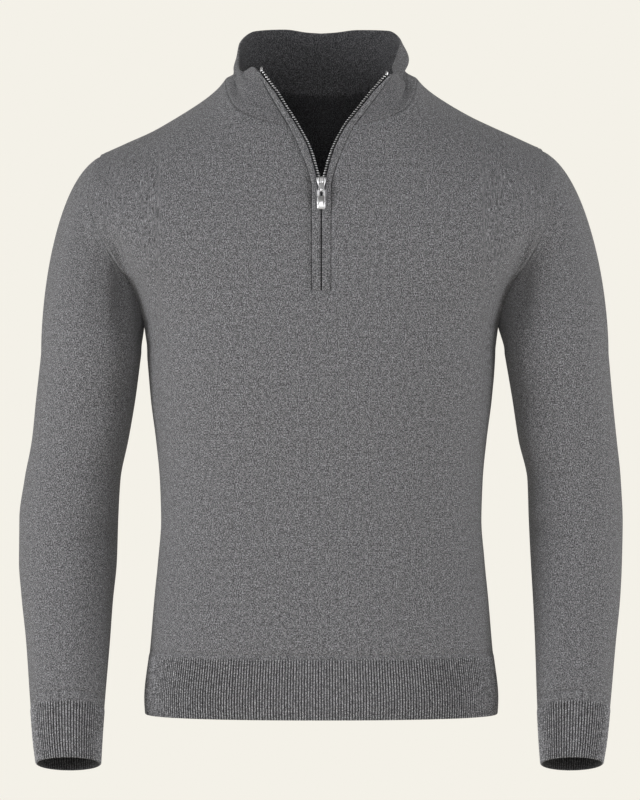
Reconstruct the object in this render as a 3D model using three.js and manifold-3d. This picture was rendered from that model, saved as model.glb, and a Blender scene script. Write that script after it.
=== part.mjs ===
// Quarter zip sweater in fine heather knit, filled out as if worn, with open neck, hem and cuffs.
// Millimetres. +Z is up, the front faces -Y, and the wearer's right side lies at -X.
// The origin is the middle of the neck, level with the high points of the shoulders.
import * as THREE from "three";
import { mergeVertices } from "three/addons/utils/BufferGeometryUtils.js";
import Module from "manifold-3d";

// Driving sizes
const seamGap = 0.3;
const clothWall = 2;
const collarWall = 3;
const bandWall = 2.6;
const tapeWall = 0.8;
const hemTop = -604;
const hemBottom = -671.5;
const underarmLevel = -262;
const chestLevel = -200; // below this the front and back hang straight, above it they round over to the shoulder
const ridgeDepth = 6; // how far behind the side seams the shoulder seams lie
const bodyPower = 2.35; // 2 would make each section an ellipse, more makes it squarer
const slotHalf = 10.3; // half the width that the zip and its two bands fill
const hemRibPitch = 2.8;
const cuffRibPitch = 3;
const ribHeight = 0.6;

// Grid of a half panel: columns run from the side seam and armhole to the middle, rows from the hem up.
// Above the underarm each row ends at the middle, then at the zip opening, and last at the neck seam.
const halfColumns = 11;
const lowerRows = 5;
const middleLevels = [-262, -244, -226, -182, -142, -118, -98, -75, -53]; // rows that end at the middle or the zip
const slotRow = 2; // the zip opening starts at this row
const neckRow = middleLevels.length - 1;
const neckRows = 6;
const upperRows = neckRow + neckRows;

// Body sections: level is the height, half the half width, front and back the depths from the side seams.
const bodySections = [
  { level: -674, half: 186, front: 111, back: 104 },
  { level: -655, half: 187, front: 113, back: 105 },
  { level: -604, half: 181.5, front: 113, back: 103 },
  { level: -551, half: 177, front: 112, back: 100 },
  { level: -509, half: 173, front: 112, back: 98 },
  { level: -466, half: 169.6, front: 112, back: 97 },
  { level: -424, half: 171, front: 114, back: 100 },
  { level: -382, half: 175, front: 118, back: 106 },
  { level: -339, half: 180.5, front: 124, back: 113 },
  { level: -297, half: 184, front: 128, back: 119 },
  { level: -262, half: 187.5, front: 130, back: 122 },
  { level: -240, half: 197, front: 130, back: 123 },
  { level: -220, half: 210, front: 129, back: 124 },
  { level: -200, half: 232, front: 128, back: 124 },
  { level: -155, half: 272, front: 127, back: 124 },
  { level: -100, half: 300, front: 127, back: 124 },
  { level: 60, half: 330, front: 127, back: 124 },
];

// The line of the shoulder seam, and the same line carried on under the neck and over the sleeve head.
// The right shoulder sits a little higher than the left.
const shoulderLine = [
  { across: 0, left: 34, right: 34 },
  { across: 50, left: 29, right: 29 },
  { across: 80, left: 16, right: 16 },
  { across: 100, left: -0.5, right: 0 },
  { across: 110, left: -10, right: -8.5 },
  { across: 124, left: -21, right: -18.5 },
  { across: 157, left: -42, right: -38 },
  { across: 180, left: -55, right: -49 },
  { across: 209, left: -68, right: -62 },
  { across: 235, left: -80.5, right: -74.5 },
  { across: 250, left: -93, right: -85 },
  { across: 300, left: -150, right: -142 },
];

// The armhole seam seen from the front, from the underarm up to the end of the shoulder seam.
const armhole = [
  { run: 0, across: 187.5, level: -262 },
  { run: 0.12, across: 192, level: -242 },
  { run: 0.26, across: 201, level: -218 },
  { run: 0.4, across: 213, level: -200 },
  { run: 0.54, across: 226, level: -179 },
  { run: 0.67, across: 238, level: -153 },
  { run: 0.79, across: 245, level: -128 },
  { run: 0.9, across: 242, level: -103 },
  { run: 1, across: 235, level: -80.5 },
];

// The crease between sleeve and body, a trough in the panels that dies out up the armhole.
const armpitFold = [
  { level: -270, across: 182, sink: 0 },
  { level: -250, across: 190, sink: 9 },
  { level: -228, across: 196, sink: 17 },
  { level: -205, across: 203, sink: 13 },
  { level: -180, across: 212, sink: 5 },
  { level: -160, across: 220, sink: 0 },
];
const foldWidth = 9;

// The neck seam, from the shoulder seam to the zip in front and to the middle of the back.
const neckSeamFront = [
  { run: 0, across: 100, level: -0.5 },
  { run: 0.2, across: 97, level: -17 },
  { run: 0.4, across: 89, level: -33 },
  { run: 0.6, across: 75.5, level: -42.5 },
  { run: 0.8, across: 57, level: -48.5 },
  { run: 1, across: 34.5, level: -53 },
];
const neckSeamBack = [
  { run: 0, across: 100, level: -0.5 },
  { run: 0.35, across: 82, level: -6 },
  { run: 0.65, across: 52, level: -11 },
  { run: 1, across: 10.3, level: -13 },
];

// The zip opening: seam is the stitched line where a band joins the panel or collar, edge is the zip side
// of the band.
const zipLine = [
  { level: -226, seam: 10.3, edge: 1.6 },
  { level: -126, seam: 10.3, edge: 1.6 },
  { level: -116, seam: 10.7, edge: 2.5 },
  { level: -104, seam: 13.4, edge: 5.8 },
  { level: -95, seam: 16.2, edge: 8.3 },
  { level: -79.5, seam: 22.3, edge: 13.2 },
  { level: -66, seam: 28, edge: 19.3 },
  { level: -53, seam: 34.5, edge: 26.3 },
  { level: -33, seam: 46, edge: 38.7 },
  { level: -16, seam: 57.5, edge: 51.5 },
  { level: 5, seam: 70, edge: 67 },
];

// The collar's top edge, from its front edge at station 0 past the shoulder at 4 to the middle of the back at 8.
// waist draws the wall in above the neck seam, and swell puffs it out below the edge. The right side leans in.
const collarEdge = [
  { station: 0, left: 66, right: 74, depth: -80, levelLeft: 6, levelRight: 4, waist: 0, swellLeft: 0, swellRight: 0 },
  { station: 1, left: 73, right: 80, depth: -67, levelLeft: 10.5, levelRight: 6.5, waist: 1, swellLeft: 0, swellRight: 0.5 },
  { station: 2, left: 82, right: 82.5, depth: -47, levelLeft: 6.5, levelRight: 1, waist: 4, swellLeft: -1, swellRight: 1.5 },
  { station: 3, left: 90.5, right: 78.5, depth: -24, levelLeft: 11, levelRight: 16, waist: 6.5, swellLeft: -2.2, swellRight: 4.5 },
  { station: 4, left: 91.5, right: 80.5, depth: 6, levelLeft: 25, levelRight: 30, waist: 7, swellLeft: -2.2, swellRight: 6 },
  { station: 5, left: 89, right: 84.5, depth: 36, levelLeft: 42, levelRight: 44, waist: 4, swellLeft: 0, swellRight: 5 },
  { station: 6, left: 73, right: 73, depth: 60, levelLeft: 57, levelRight: 57, waist: 1, swellLeft: 2, swellRight: 3 },
  { station: 7, left: 38, right: 38, depth: 76, levelLeft: 59.5, levelRight: 59, waist: 0, swellLeft: 3, swellRight: 3 },
  { station: 7.6, left: 14.5, right: 14.5, depth: 80, levelLeft: 56.5, levelRight: 56.5, waist: 0, swellLeft: 3, swellRight: 3 },
  { station: 8, left: 0, right: 0, depth: 80.5, levelLeft: 55.6, levelRight: 55.6, waist: 0, swellLeft: 3, swellRight: 3 },
];
const collarRows = 6;

// The arms: outer and inner are distances from the middle of the body, depth the middle of the arm,
// thick its half depth, tilt the forward slope in degrees.
const armStations = [
  { level: -290, outerL: 297, innerL: 191, outerR: 304.5, innerR: 194.5, depth: 2, thick: 67, tilt: 0 },
  { level: -339, outerL: 302.4, innerL: 197.5, outerR: 309, innerR: 203, depth: 5, thick: 64, tilt: 0 },
  { level: -382, outerL: 306.7, innerL: 205, outerR: 313.4, innerR: 209.6, depth: 7, thick: 62, tilt: 0 },
  { level: -424, outerL: 315, innerL: 213.4, outerR: 317.7, innerR: 219, depth: 8, thick: 61, tilt: 2 },
  { level: -466, outerL: 320.4, innerL: 215.5, outerR: 319.8, innerR: 220.2, depth: 6, thick: 59, tilt: 5 },
  { level: -509, outerL: 320.4, innerL: 216.6, outerR: 318.7, innerR: 222, depth: 0, thick: 56, tilt: 10 },
  { level: -551, outerL: 316.7, innerL: 220.4, outerR: 316, innerR: 224, depth: -10, thick: 52, tilt: 13 },
  { level: -593, outerL: 311.6, innerL: 223, outerR: 311, innerR: 225.5, depth: -22, thick: 48, tilt: 15 },
  { level: -654, outerL: 306.2, innerL: 227.4, outerR: 304.4, innerR: 226.7, depth: -41, thick: 41, tilt: 17 },
  { level: -696, outerL: 302.1, innerL: 229.9, outerR: 299.3, innerR: 228.2, depth: -55, thick: 36, tilt: 17 },
  { level: -720, outerL: 298.5, innerL: 230.8, outerR: 294.8, innerR: 229.6, depth: -64, thick: 32.5, tilt: 17 },
];
const sleeveTop = -290;
const cuffTop = -654;
const cuffBottom = -720;
const sleeveHeadRows = 6;
const sleeveLowerRows = 8;
const cuffRows = 2;

// The slider and its pull tab, sizes across, along the zip and through
const slider = { width: 9.6, length: 17, thick: 2.4, tip: 6, lobe: 3.2, level: -116.8 };
const arch = { width: 2.2, length: 10.2, rise: 3.6, strap: 1.1, middle: -3.3 };
const pull = { width: 8, length: 21, thick: 1.4, bar: 1.3, slotWidth: 3.2, slotLength: 7.2, round: 2.4, lean: 7 };

const knitGrey = new THREE.MeshStandardMaterial({ color: 0x757575, roughness: 0.95, metalness: 0 });
const ribGrey = new THREE.MeshStandardMaterial({ color: 0x6a6a6a, roughness: 0.95, metalness: 0 });
const tapeGrey = new THREE.MeshStandardMaterial({ color: 0x2a2a2c, roughness: 0.9, metalness: 0 });
const zipSteel = new THREE.MeshStandardMaterial({ color: 0xc8c8ca, roughness: 0.25, metalness: 1 });

const sweater = new THREE.Group();

function addPiece(name, geometry, material, group = sweater) {
  const mesh = new THREE.Mesh(geometry, material);
  mesh.name = name;
  group.add(mesh);
  return mesh;
}

// A smooth function through one column of a table, without overshoot between its rows.
function through(rows, at, column) {
  const sorted = [...rows].sort((p, q) => p[at] - q[at]);
  const x = sorted.map((row) => row[at]);
  const y = sorted.map((row) => row[column]);
  const last = x.length - 1;
  const rise = x.slice(1).map((value, i) => (y[i + 1] - y[i]) / (value - x[i]));
  const slope = x.map((_, i) => {
    if (i === 0) return rise[0];
    if (i === last) return rise[last - 1];
    return rise[i - 1] * rise[i] <= 0 ? 0 : (2 * rise[i - 1] * rise[i]) / (rise[i - 1] + rise[i]);
  });
  return (place) => {
    const at0 = Math.min(Math.max(place, x[0]), x[last]);
    const i = Math.min(Math.max(x.findIndex((value) => value > at0) - 1, 0), last - 1);
    const k = at0 >= x[last] ? last - 1 : i;
    const width = x[k + 1] - x[k];
    const t = (at0 - x[k]) / width;
    return (
      y[k] * (1 + 2 * t) * (1 - t) ** 2 +
      slope[k] * width * t * (1 - t) ** 2 +
      y[k + 1] * t * t * (3 - 2 * t) +
      slope[k + 1] * width * t * t * (t - 1)
    );
  };
}

const mix = THREE.MathUtils.lerp;
const smooth = THREE.MathUtils.smoothstep;
const halfAt = through(bodySections, "level", "half");
const depthAt = { "-1": through(bodySections, "level", "front"), 1: through(bodySections, "level", "back") };
const ridgeAtSide = { "-1": through(shoulderLine, "across", "left"), 1: through(shoulderLine, "across", "right") };
const foldAcross = through(armpitFold, "level", "across");
const foldSink = through(armpitFold, "level", "sink");
const ridgeAt = (x) => ridgeAtSide[x < 0 ? -1 : 1](Math.abs(x));

// A point of the body's cloth over a place (x, z) of the front view. face is -1 for the front and 1 for the back.
// depth = section depth * (1 - |x / half| ^ power) ^ (1 / power) * sqrt(1 - rise ^ 2)
function clothPoint(x, z, face) {
  const rise = THREE.MathUtils.clamp((z - chestLevel) / (ridgeAt(x) - chestLevel), 0, 1);
  const inside = Math.max(0, 1 - (Math.abs(x) / halfAt(z)) ** bodyPower);
  const depth = depthAt[face](z) * inside ** (1 / bodyPower) * Math.sqrt(1 - rise * rise);
  const sink = foldSink(z) * Math.exp(-(((Math.abs(x) - foldAcross(z)) / foldWidth) ** 2));
  const kept = Math.max(0, depth - Math.min(sink, depth * 0.6));
  return new THREE.Vector3(x, ridgeDepth * smooth(rise, 0, 1) + face * (kept + seamGap / 2), z);
}

// Normals of a grid's points: the sum of the faces of the kept cells round each point.
function gridNormals(points, keep, closed) {
  const columns = points.length;
  const normals = points.map((column) => column.map(() => new THREE.Vector3()));
  const cells = closed ? columns : columns - 1;
  for (let i = 0; i < cells; i++)
    for (let j = 0; j < points[0].length - 1; j++) {
      if (!keep(i, j)) continue;
      const n = (i + 1) % columns;
      const across = points[n][j + 1].clone().sub(points[i][j]);
      const along = points[i][j + 1].clone().sub(points[n][j]);
      const face = across.cross(along);
      for (const [c, r] of [[i, j], [n, j], [i, j + 1], [n, j + 1]]) normals[c][r].add(face);
    }
  return normals.map((column) => column.map((normal) => normal.normalize()));
}

// A grid moved along its normals, by a distance that may differ from point to point.
function moved(points, normals, by) {
  return points.map((column, i) => column.map((point, j) => point.clone().addScaledVector(normals[i][j], by)));
}

function geometryOf(points, faces) {
  const geometry = new THREE.BufferGeometry();
  geometry.setAttribute("position", new THREE.Float32BufferAttribute(points.flatMap((p) => p.toArray()), 3));
  let volume = 0;
  for (const [a, b, c] of faces) volume += points[a].dot(points[b].clone().cross(points[c]));
  geometry.setIndex(faces.flatMap(([a, b, c]) => (volume < 0 ? [a, c, b] : [a, b, c])));
  return geometry;
}

// A closed wall between an outer and an inner grid of the same count, with its open edges walled.
// The cells' diagonals mirror each other on the two halves.
function wallOf(outer, inner, keep = () => true, closed = false) {
  const columns = outer.length;
  const rows = outer[0].length;
  const points = [...outer.flat(), ...inner.flat()];
  const out = (i, j) => (i % columns) * rows + j;
  const into = (i, j) => columns * rows + out(i, j);
  const faces = [];
  const quad = (a, b, c, d) => faces.push([a, b, c], [a, c, d]);
  const cells = closed ? columns : columns - 1;
  const kept = (i, j) => {
    const c = closed ? (i + columns) % columns : i;
    return c >= 0 && c < cells && j >= 0 && j < rows - 1 && keep(c, j);
  };
  for (let i = 0; i < cells; i++)
    for (let j = 0; j < rows - 1; j++) {
      if (!kept(i, j)) continue;
      if (i < cells / 2) {
        quad(out(i, j), out(i + 1, j), out(i + 1, j + 1), out(i, j + 1));
        quad(into(i, j), into(i, j + 1), into(i + 1, j + 1), into(i + 1, j));
      } else {
        quad(out(i + 1, j), out(i + 1, j + 1), out(i, j + 1), out(i, j));
        quad(into(i, j + 1), into(i + 1, j + 1), into(i + 1, j), into(i, j));
      }
      if (!kept(i, j - 1)) quad(into(i, j), into(i + 1, j), out(i + 1, j), out(i, j));
      if (!kept(i, j + 1)) quad(out(i, j + 1), out(i + 1, j + 1), into(i + 1, j + 1), into(i, j + 1));
      if (!kept(i - 1, j)) quad(out(i, j), out(i, j + 1), into(i, j + 1), into(i, j));
      if (!kept(i + 1, j)) quad(out(i + 1, j), into(i + 1, j), into(i + 1, j + 1), out(i + 1, j + 1));
    }
  return geometryOf(points, faces);
}

// A closed wall with ribs on its outer side: step outer columns lie over each plain inner one.
function ribbedWall(outer, inner, step, closed) {
  const rows = outer[0].length;
  const innerColumns = inner.length;
  const points = [...outer.flat(), ...inner.flat()];
  const out = (i, j) => (i % outer.length) * rows + j;
  const into = (i, j) => outer.length * rows + (i % innerColumns) * rows + j;
  const faces = [];
  const quad = (a, b, c, d) => faces.push([a, b, c], [a, c, d]);
  const innerCells = closed ? innerColumns : innerColumns - 1;
  for (let i = 0; i < innerCells; i++) {
    for (let j = 0; j < rows - 1; j++) {
      quad(into(i, j), into(i, j + 1), into(i + 1, j + 1), into(i + 1, j));
      for (let k = i * step; k < (i + 1) * step; k++) quad(out(k, j), out(k + 1, j), out(k + 1, j + 1), out(k, j + 1));
    }
    const middle = i * step + Math.floor(step / 2);
    for (const [j, turn] of [[0, false], [rows - 1, true]]) {
      const rim = [[into(i, j), into(i + 1, j), out(middle, j)]];
      for (let k = i * step; k < (i + 1) * step; k++)
        rim.push([k < middle ? into(i, j) : into(i + 1, j), out(k + 1, j), out(k, j)]);
      faces.push(...rim.map(([a, b, c]) => (turn ? [a, c, b] : [a, b, c])));
    }
  }
  if (!closed)
    for (let j = 0; j < rows - 1; j++) {
      quad(out(0, j), out(0, j + 1), into(0, j + 1), into(0, j));
      const o = outer.length - 1;
      const n = innerColumns - 1;
      quad(out(o, j), into(n, j), into(n, j + 1), out(o, j + 1));
    }
  return geometryOf(points, faces);
}

// Points at equal distances along a curve, which is given as a function of a run from 0 to 1.
function evenly(curve, count) {
  const steps = 400;
  const fine = Array.from({ length: steps + 1 }, (_, i) => curve(i / steps));
  const lengths = [0];
  for (let i = 1; i <= steps; i++) lengths.push(lengths[i - 1] + fine[i].distanceTo(fine[i - 1]));
  return Array.from({ length: count + 1 }, (_, k) => {
    const want = (lengths.at(-1) * k) / count;
    const i = Math.max(1, lengths.findIndex((length) => length >= want - 1e-9));
    return fine[i - 1].clone().lerp(fine[i], (want - lengths[i - 1]) / (lengths[i] - lengths[i - 1]));
  });
}

// The armhole seam of one side and face, from the underarm to the end of the shoulder seam.
function armholeOf(side, face) {
  const across = through(armhole, "run", "across");
  const level = through(armhole, "run", "level");
  const lift = ridgeAt(side * armhole.at(-1).across) - armhole.at(-1).level;
  const curve = (run) => clothPoint(side * across(run), level(run) + lift * smooth(run, 0.3, 1), face);
  return evenly(curve, upperRows);
}

// The neck seam of one side and face, from the zip or the middle of the back to the shoulder seam.
function neckOf(side, face) {
  const seam = face < 0 ? neckSeamFront : neckSeamBack;
  const across = through(seam, "run", "across");
  const level = through(seam, "run", "level");
  const lift = ridgeAt(side * seam[0].across) - seam[0].level;
  const curve = (run) => clothPoint(side * across(run), level(run) + lift * (1 - run), face);
  return evenly((run) => curve(1 - run), neckRows);
}

// The zip opening's seam line in front, and the edges of a plain middle strip at the back.
const zipSeamAt = through(zipLine, "level", "seam");
const zipEdgeAt = through(zipLine, "level", "edge");
const backMiddleLevel = (k) => mix(underarmLevel, neckSeamBack.at(-1).level, k / neckRow);
function middleOf(face, k) {
  const z = face < 0 ? middleLevels[k] : backMiddleLevel(k);
  return new THREE.Vector2(face < 0 ? zipSeamAt(z) : slotHalf, z);
}

// One half of a body panel. Above the underarm it is a Coons patch in the front view, between the armhole,
// the shoulder seam, the underarm row and the middle with the neck seam, which clothPoint carries into depth.
function panelHalf(side, face) {
  const flat = (point) => new THREE.Vector2(Math.abs(point.x), point.z);
  const arm = armholeOf(side, face).map(flat);
  const neck = neckOf(side, face).map(flat);
  const inner = Array.from({ length: upperRows + 1 }, (_, k) => (k < neckRow ? middleOf(face, k) : neck[k - neckRow]));
  const columns = [];
  for (let i = 0; i <= halfColumns; i++) {
    const a = i / halfColumns;
    const squeeze = Math.cos((a * Math.PI) / 2) ** (2 / bodyPower);
    const column = [];
    for (let j = 0; j < lowerRows; j++) {
      const z = mix(hemTop, underarmLevel, j / lowerRows);
      column.push(clothPoint(side * mix(slotHalf, halfAt(z), squeeze), z, face));
    }
    const bottom = new THREE.Vector2(mix(slotHalf, halfAt(underarmLevel), squeeze), underarmLevel);
    const ridgeAcross = mix(arm[upperRows].x, inner[upperRows].x, a);
    const top = new THREE.Vector2(ridgeAcross, ridgeAt(side * ridgeAcross));
    for (let k = 0; k <= upperRows; k++) {
      const rise = Math.sin(((k / upperRows) * Math.PI) / 2);
      const armPull = arm[k].clone().sub(arm[0].clone().lerp(arm[upperRows], rise));
      const innerPull = inner[k].clone().sub(inner[0].clone().lerp(inner[upperRows], rise));
      const place = bottom.clone().lerp(top, rise).addScaledVector(armPull, 1 - a).addScaledVector(innerPull, a);
      column.push(clothPoint(side * place.x, place.y, face));
    }
    columns.push(column);
  }
  return columns;
}

// Seam normals: level with the ground at the side seams, square to the shoulder line at the shoulders,
// and halfway between the panel and the standing collar along the neck.
function squareSeams(points, normals) {
  const step = 0.5;
  const last = lowerRows + upperRows;
  points.forEach((column, i) => {
    const fromEdge = Math.min(i, points.length - 1 - i);
    column.forEach((point, j) => {
      const normal = normals[i][j];
      if (fromEdge === 0 && j <= lowerRows) {
        const flare = (halfAt(point.z + step) - halfAt(point.z - step)) / (2 * step);
        normal.set(Math.sign(point.x), 0, -Math.min(flare, 0.1)).normalize();
      }
      if (j === last) {
        const fall = (ridgeAt(point.x + step) - ridgeAt(point.x - step)) / (2 * step);
        normal.set(-fall, 0, 1).normalize();
      }
      if (fromEdge === halfColumns && j >= lowerRows + neckRow)
        normal.add(new THREE.Vector3(point.x, j === last ? 0 : point.y, 0).normalize()).normalize();
    });
  });
  return normals;
}

// Each panel is two halves with a strip between them, which ends where the zip opening or the neck starts.
function panelOf(face, openRow) {
  const outer = [...panelHalf(face, face), ...panelHalf(-face, face).reverse()];
  const keep = (i, j) => i !== halfColumns || j < lowerRows + openRow;
  const normals = squareSeams(outer, gridNormals(outer, keep, false));
  return { outer, normals, inner: moved(outer, normals, -clothWall), keep };
}
const front = panelOf(-1, slotRow);
const back = panelOf(1, neckRow);
addPiece("front_panel", wallOf(front.outer, front.inner, front.keep), knitGrey);
addPiece("back_panel", wallOf(back.outer, back.inner, back.keep), knitGrey);

// One half of the ribbed hem, on the body's section from one side seam to the other.
// x = half * |cos(turn)| ^ (2 / power), y = depth * sin(turn) ^ (2 / power)
function hemOf(face) {
  const ring = (turn, level) => {
    const cos = Math.cos(turn);
    const x = -Math.sign(cos) * halfAt(level) * Math.abs(cos) ** (2 / bodyPower);
    return new THREE.Vector3(x, face * depthAt[face](level) * Math.sin(turn) ** (2 / bodyPower), level);
  };
  const middle = mix(hemTop, hemBottom, 0.5);
  const innerStep = 8; // outer columns, two to a rib, over each plain column inside
  const turnOf = (point) => Math.atan2(
    Math.abs(point.y / depthAt[face](middle)) ** (bodyPower / 2),
    -Math.sign(point.x) * Math.abs(point.x / halfAt(middle)) ** (bodyPower / 2),
  );
  const halfRound = (Math.PI * (halfAt(middle) + depthAt[face](middle))) / 2;
  const columns = Math.round(halfRound / hemRibPitch / (innerStep / 2)) * innerStep;
  const turns = evenly((run) => ring(run * Math.PI, middle), columns).map(turnOf);
  turns[0] = 0;
  turns[columns] = Math.PI;
  const levels = [hemTop - seamGap, mix(hemTop, hemBottom, 0.72), hemBottom];
  const columnAt = (c, offset) =>
    levels.map((level) => {
      const point = ring(turns[c], level);
      const outward = new THREE.Vector3(
        (Math.sign(point.x) * Math.abs(point.x / halfAt(level)) ** (bodyPower - 1)) / halfAt(level),
        (face * Math.abs(point.y / depthAt[face](level)) ** (bodyPower - 1)) / depthAt[face](level),
        0,
      );
      if (c === 0 || c === columns) outward.set(Math.sign(point.x), 0, 0);
      point.y += (face * seamGap) / 2;
      return point.addScaledVector(outward.normalize(), offset);
    });
  const outer = Array.from({ length: columns + 1 }, (_, c) => columnAt(c, c % 2 ? ribHeight : 0));
  const inner = Array.from({ length: columns / innerStep + 1 }, (_, c) => columnAt(c * innerStep, -clothWall));
  return ribbedWall(outer, inner, innerStep, false);
}
addPiece("hem_front", hemOf(-1), ribGrey);
addPiece("hem_back", hemOf(1), ribGrey);

// The arm's ring at a level: centre + half width * outward * cos(turn) + half depth * forward * sin(turn).
function armRing(side, level) {
  const key = side < 0 ? "L" : "R";
  const value = (column) => through(armStations, "level", column)(level);
  const outer = value("outer" + key);
  const inner = value("inner" + key);
  const tilt = THREE.MathUtils.degToRad(value("tilt"));
  const centre = new THREE.Vector3((side * (outer + inner)) / 2, value("depth"), level);
  const down = new THREE.Vector3(0, -Math.sin(tilt), -Math.cos(tilt));
  const forward = new THREE.Vector3(0, -Math.cos(tilt), Math.sin(tilt));
  const radius = new THREE.Vector2((outer - inner) / 2, value("thick"));
  const point = (turn, offset = 0) =>
    centre
      .clone()
      .add(new THREE.Vector3(side * (radius.x + offset) * Math.cos(turn), 0, 0))
      .addScaledVector(forward, (radius.y + offset) * Math.sin(turn));
  return { centre, down, point, radius };
}

// A sleeve: from the armhole a cubic curve for each point of the seam meets the ring at the top of the arm,
// square to it there and flush with the panel at the seam, apart from the crease under the arm.
function sleeveOf(side) {
  const rim = [];
  const addRim = (panel, face, k) => {
    const edge = side === face ? 0 : panel.outer.length - 1;
    const row = lowerRows + k;
    rim.push({ start: panel.outer[edge][row], under: panel.inner[edge][row], normal: panel.normals[edge][row], run: k / upperRows, face: -face });
  };
  for (let k = upperRows; k > 0; k--) addRim(front, -1, k);
  for (let k = 0; k < upperRows; k++) addRim(back, 1, k);
  const ring = armRing(side, sleeveTop);
  const outer = rim.map(({ start, normal, run, face }) => {
    const end = ring.point(face * (1 - run) * Math.PI);
    const reach = end.clone().sub(start);
    const flush = smooth(run, 0.1, 0.4);
    const leave = reach.clone().addScaledVector(normal, -flush * normal.dot(reach));
    const arrive = ring.down.clone().multiplyScalar(reach.length() * 0.95);
    const column = [];
    for (let j = 0; j < sleeveHeadRows; j++) {
      const t = j / sleeveHeadRows;
      const point = start.clone().multiplyScalar((1 + 2 * t) * (1 - t) ** 2);
      point.addScaledVector(leave, t * (1 - t) ** 2).addScaledVector(end, t * t * (3 - 2 * t));
      column.push(point.addScaledVector(arrive, t * t * (t - 1)));
    }
    for (let j = 0; j <= sleeveLowerRows; j++) {
      const lower = armRing(side, mix(sleeveTop, cuffTop, j / sleeveLowerRows));
      column.push(lower.point(face * (1 - run) * Math.PI));
    }
    return column;
  });
  const normals = gridNormals(outer, () => true, true);
  const inward = normals[0][sleeveHeadRows].x * side > 0 ? -clothWall : clothWall;
  const inner = moved(outer, normals, inward);
  rim.forEach(({ start, under }, c) => {
    const away = outer[c][1].clone().sub(outer[c][0]).setLength(seamGap);
    outer[c][0] = start.clone().add(away);
    inner[c][0] = under.clone().add(away);
  });
  return wallOf(outer, inner, () => true, true);
}
addPiece("sleeve_left", sleeveOf(-1), knitGrey);
addPiece("sleeve_right", sleeveOf(1), knitGrey);

// A ribbed cuff, a cone from the sleeve's end to the wrist.
function cuffOf(side) {
  const wrist = armRing(side, (cuffTop + cuffBottom) / 2);
  const round = Math.PI * (wrist.radius.x + wrist.radius.y);
  const innerStep = 4;
  const columns = Math.round(round / cuffRibPitch / (innerStep / 2)) * innerStep;
  const levels = Array.from({ length: cuffRows + 1 }, (_, j) => mix(cuffTop - seamGap * 1.2, cuffBottom, j / cuffRows));
  const columnAt = (c, offset) => levels.map((level) => armRing(side, level).point((c / columns) * 2 * Math.PI, offset));
  const outer = Array.from({ length: columns }, (_, c) => columnAt(c, c % 2 ? ribHeight : 0));
  const inner = Array.from({ length: columns / innerStep }, (_, c) => columnAt(c * innerStep, -clothWall));
  return ribbedWall(outer, inner, innerStep, true);
}
addPiece("cuff_left", cuffOf(-1), ribGrey);
addPiece("cuff_right", cuffOf(1), ribGrey);

// The collar stands on the neck seam: base + (edge - base) * v, and outwards by
// swell * exp(-((v - 0.72) / 0.22) ^ 2) - waist * exp(-((v - 0.3) / 0.17) ^ 2).
function collarBase() {
  const last = lowerRows + upperRows;
  const base = [];
  const addBase = (panel, side, face, j) => {
    const i = side === face ? halfColumns : halfColumns + 1;
    base.push([panel.outer[i][j], panel.inner[i][j]]);
  };
  const addShoulder = (side) => {
    const [inFront, behind] = side < 0 ? [halfColumns, halfColumns + 1] : [halfColumns + 1, halfColumns];
    base.push(["outer", "inner"].map((wall) => front[wall][inFront][last].clone().lerp(back[wall][behind][last], 0.5)));
  };
  for (let j = last - neckRows; j < last; j++) addBase(front, -1, -1, j);
  addShoulder(-1);
  for (let j = last - 1; j >= last - neckRows; j--) addBase(back, -1, 1, j);
  for (let j = last - neckRows; j < last; j++) addBase(back, 1, 1, j);
  addShoulder(1);
  for (let j = last - 1; j >= last - neckRows; j--) addBase(front, 1, -1, j);
  return base;
}
const base = collarBase();
const edgeColumn = (name) => through(collarEdge, "station", name);
const collarOuter = base.map(([seam], c) => {
  const side = c < base.length / 2 ? -1 : 1;
  const fromEnd = Math.min(c, base.length - 1 - c);
  const station = fromEnd <= neckRows ? (4 * fromEnd) / neckRows : 4 + (4 * (fromEnd - neckRows)) / (neckRows + 0.5);
  const hand = side < 0 ? "Left" : "Right";
  const value = (name) => edgeColumn(name)(station);
  const edge = new THREE.Vector3(side * value(hand.toLowerCase()), value("depth"), value("level" + hand));
  const away = new THREE.Vector3(edge.x, edge.y, 0).normalize();
  return Array.from({ length: collarRows + 1 }, (_, j) => {
    const v = j / collarRows;
    const swell = value("swell" + hand) * Math.exp(-(((v - 0.72) / 0.22) ** 2));
    const drawn = value("waist") * Math.exp(-(((v - 0.3) / 0.17) ** 2));
    return seam.clone().lerp(edge, v).addScaledVector(away, j ? swell - drawn : 0);
  });
});
const collarNormals = gridNormals(collarOuter, () => true, false);
const collarInner = moved(collarOuter, collarNormals, collarNormals[neckRows * 2][2].y > 0 ? -collarWall : collarWall);
base.forEach(([seam, under], c) => {
  const up = collarOuter[c][1].clone().sub(collarOuter[c][0]).setLength(seamGap);
  collarOuter[c][0] = seam.clone().add(up);
  collarInner[c][0] = under.clone().add(up);
});
addPiece("collar", wallOf(collarOuter, collarInner), knitGrey);

// The band and tape of one side of the zip. Each row has the seam's two points and the zip edge beside them.
function zipRows(side) {
  const column = side < 0 ? halfColumns : halfColumns + 1;
  const collarColumn = side < 0 ? 0 : collarOuter.length - 1;
  const rows = [];
  for (let k = slotRow; k <= neckRow; k++) {
    const z = middleLevels[k];
    const row = {
      seam: front.outer[column][lowerRows + k].clone(),
      under: front.inner[column][lowerRows + k].clone(),
      edge: clothPoint(side * zipEdgeAt(z), z, -1),
    };
    if (k === slotRow) Object.values(row).forEach((point) => (point.z += seamGap));
    rows.push(row);
  }
  for (let j = 1; j <= collarRows; j++) {
    const seam = collarOuter[collarColumn][j];
    const reach = zipSeamAt(seam.z) - zipEdgeAt(seam.z);
    const edge = seam.clone().add(new THREE.Vector3(-side * reach, -1.5, 1));
    rows.push({ seam, under: collarInner[collarColumn][j], edge });
  }
  return rows;
}

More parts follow.
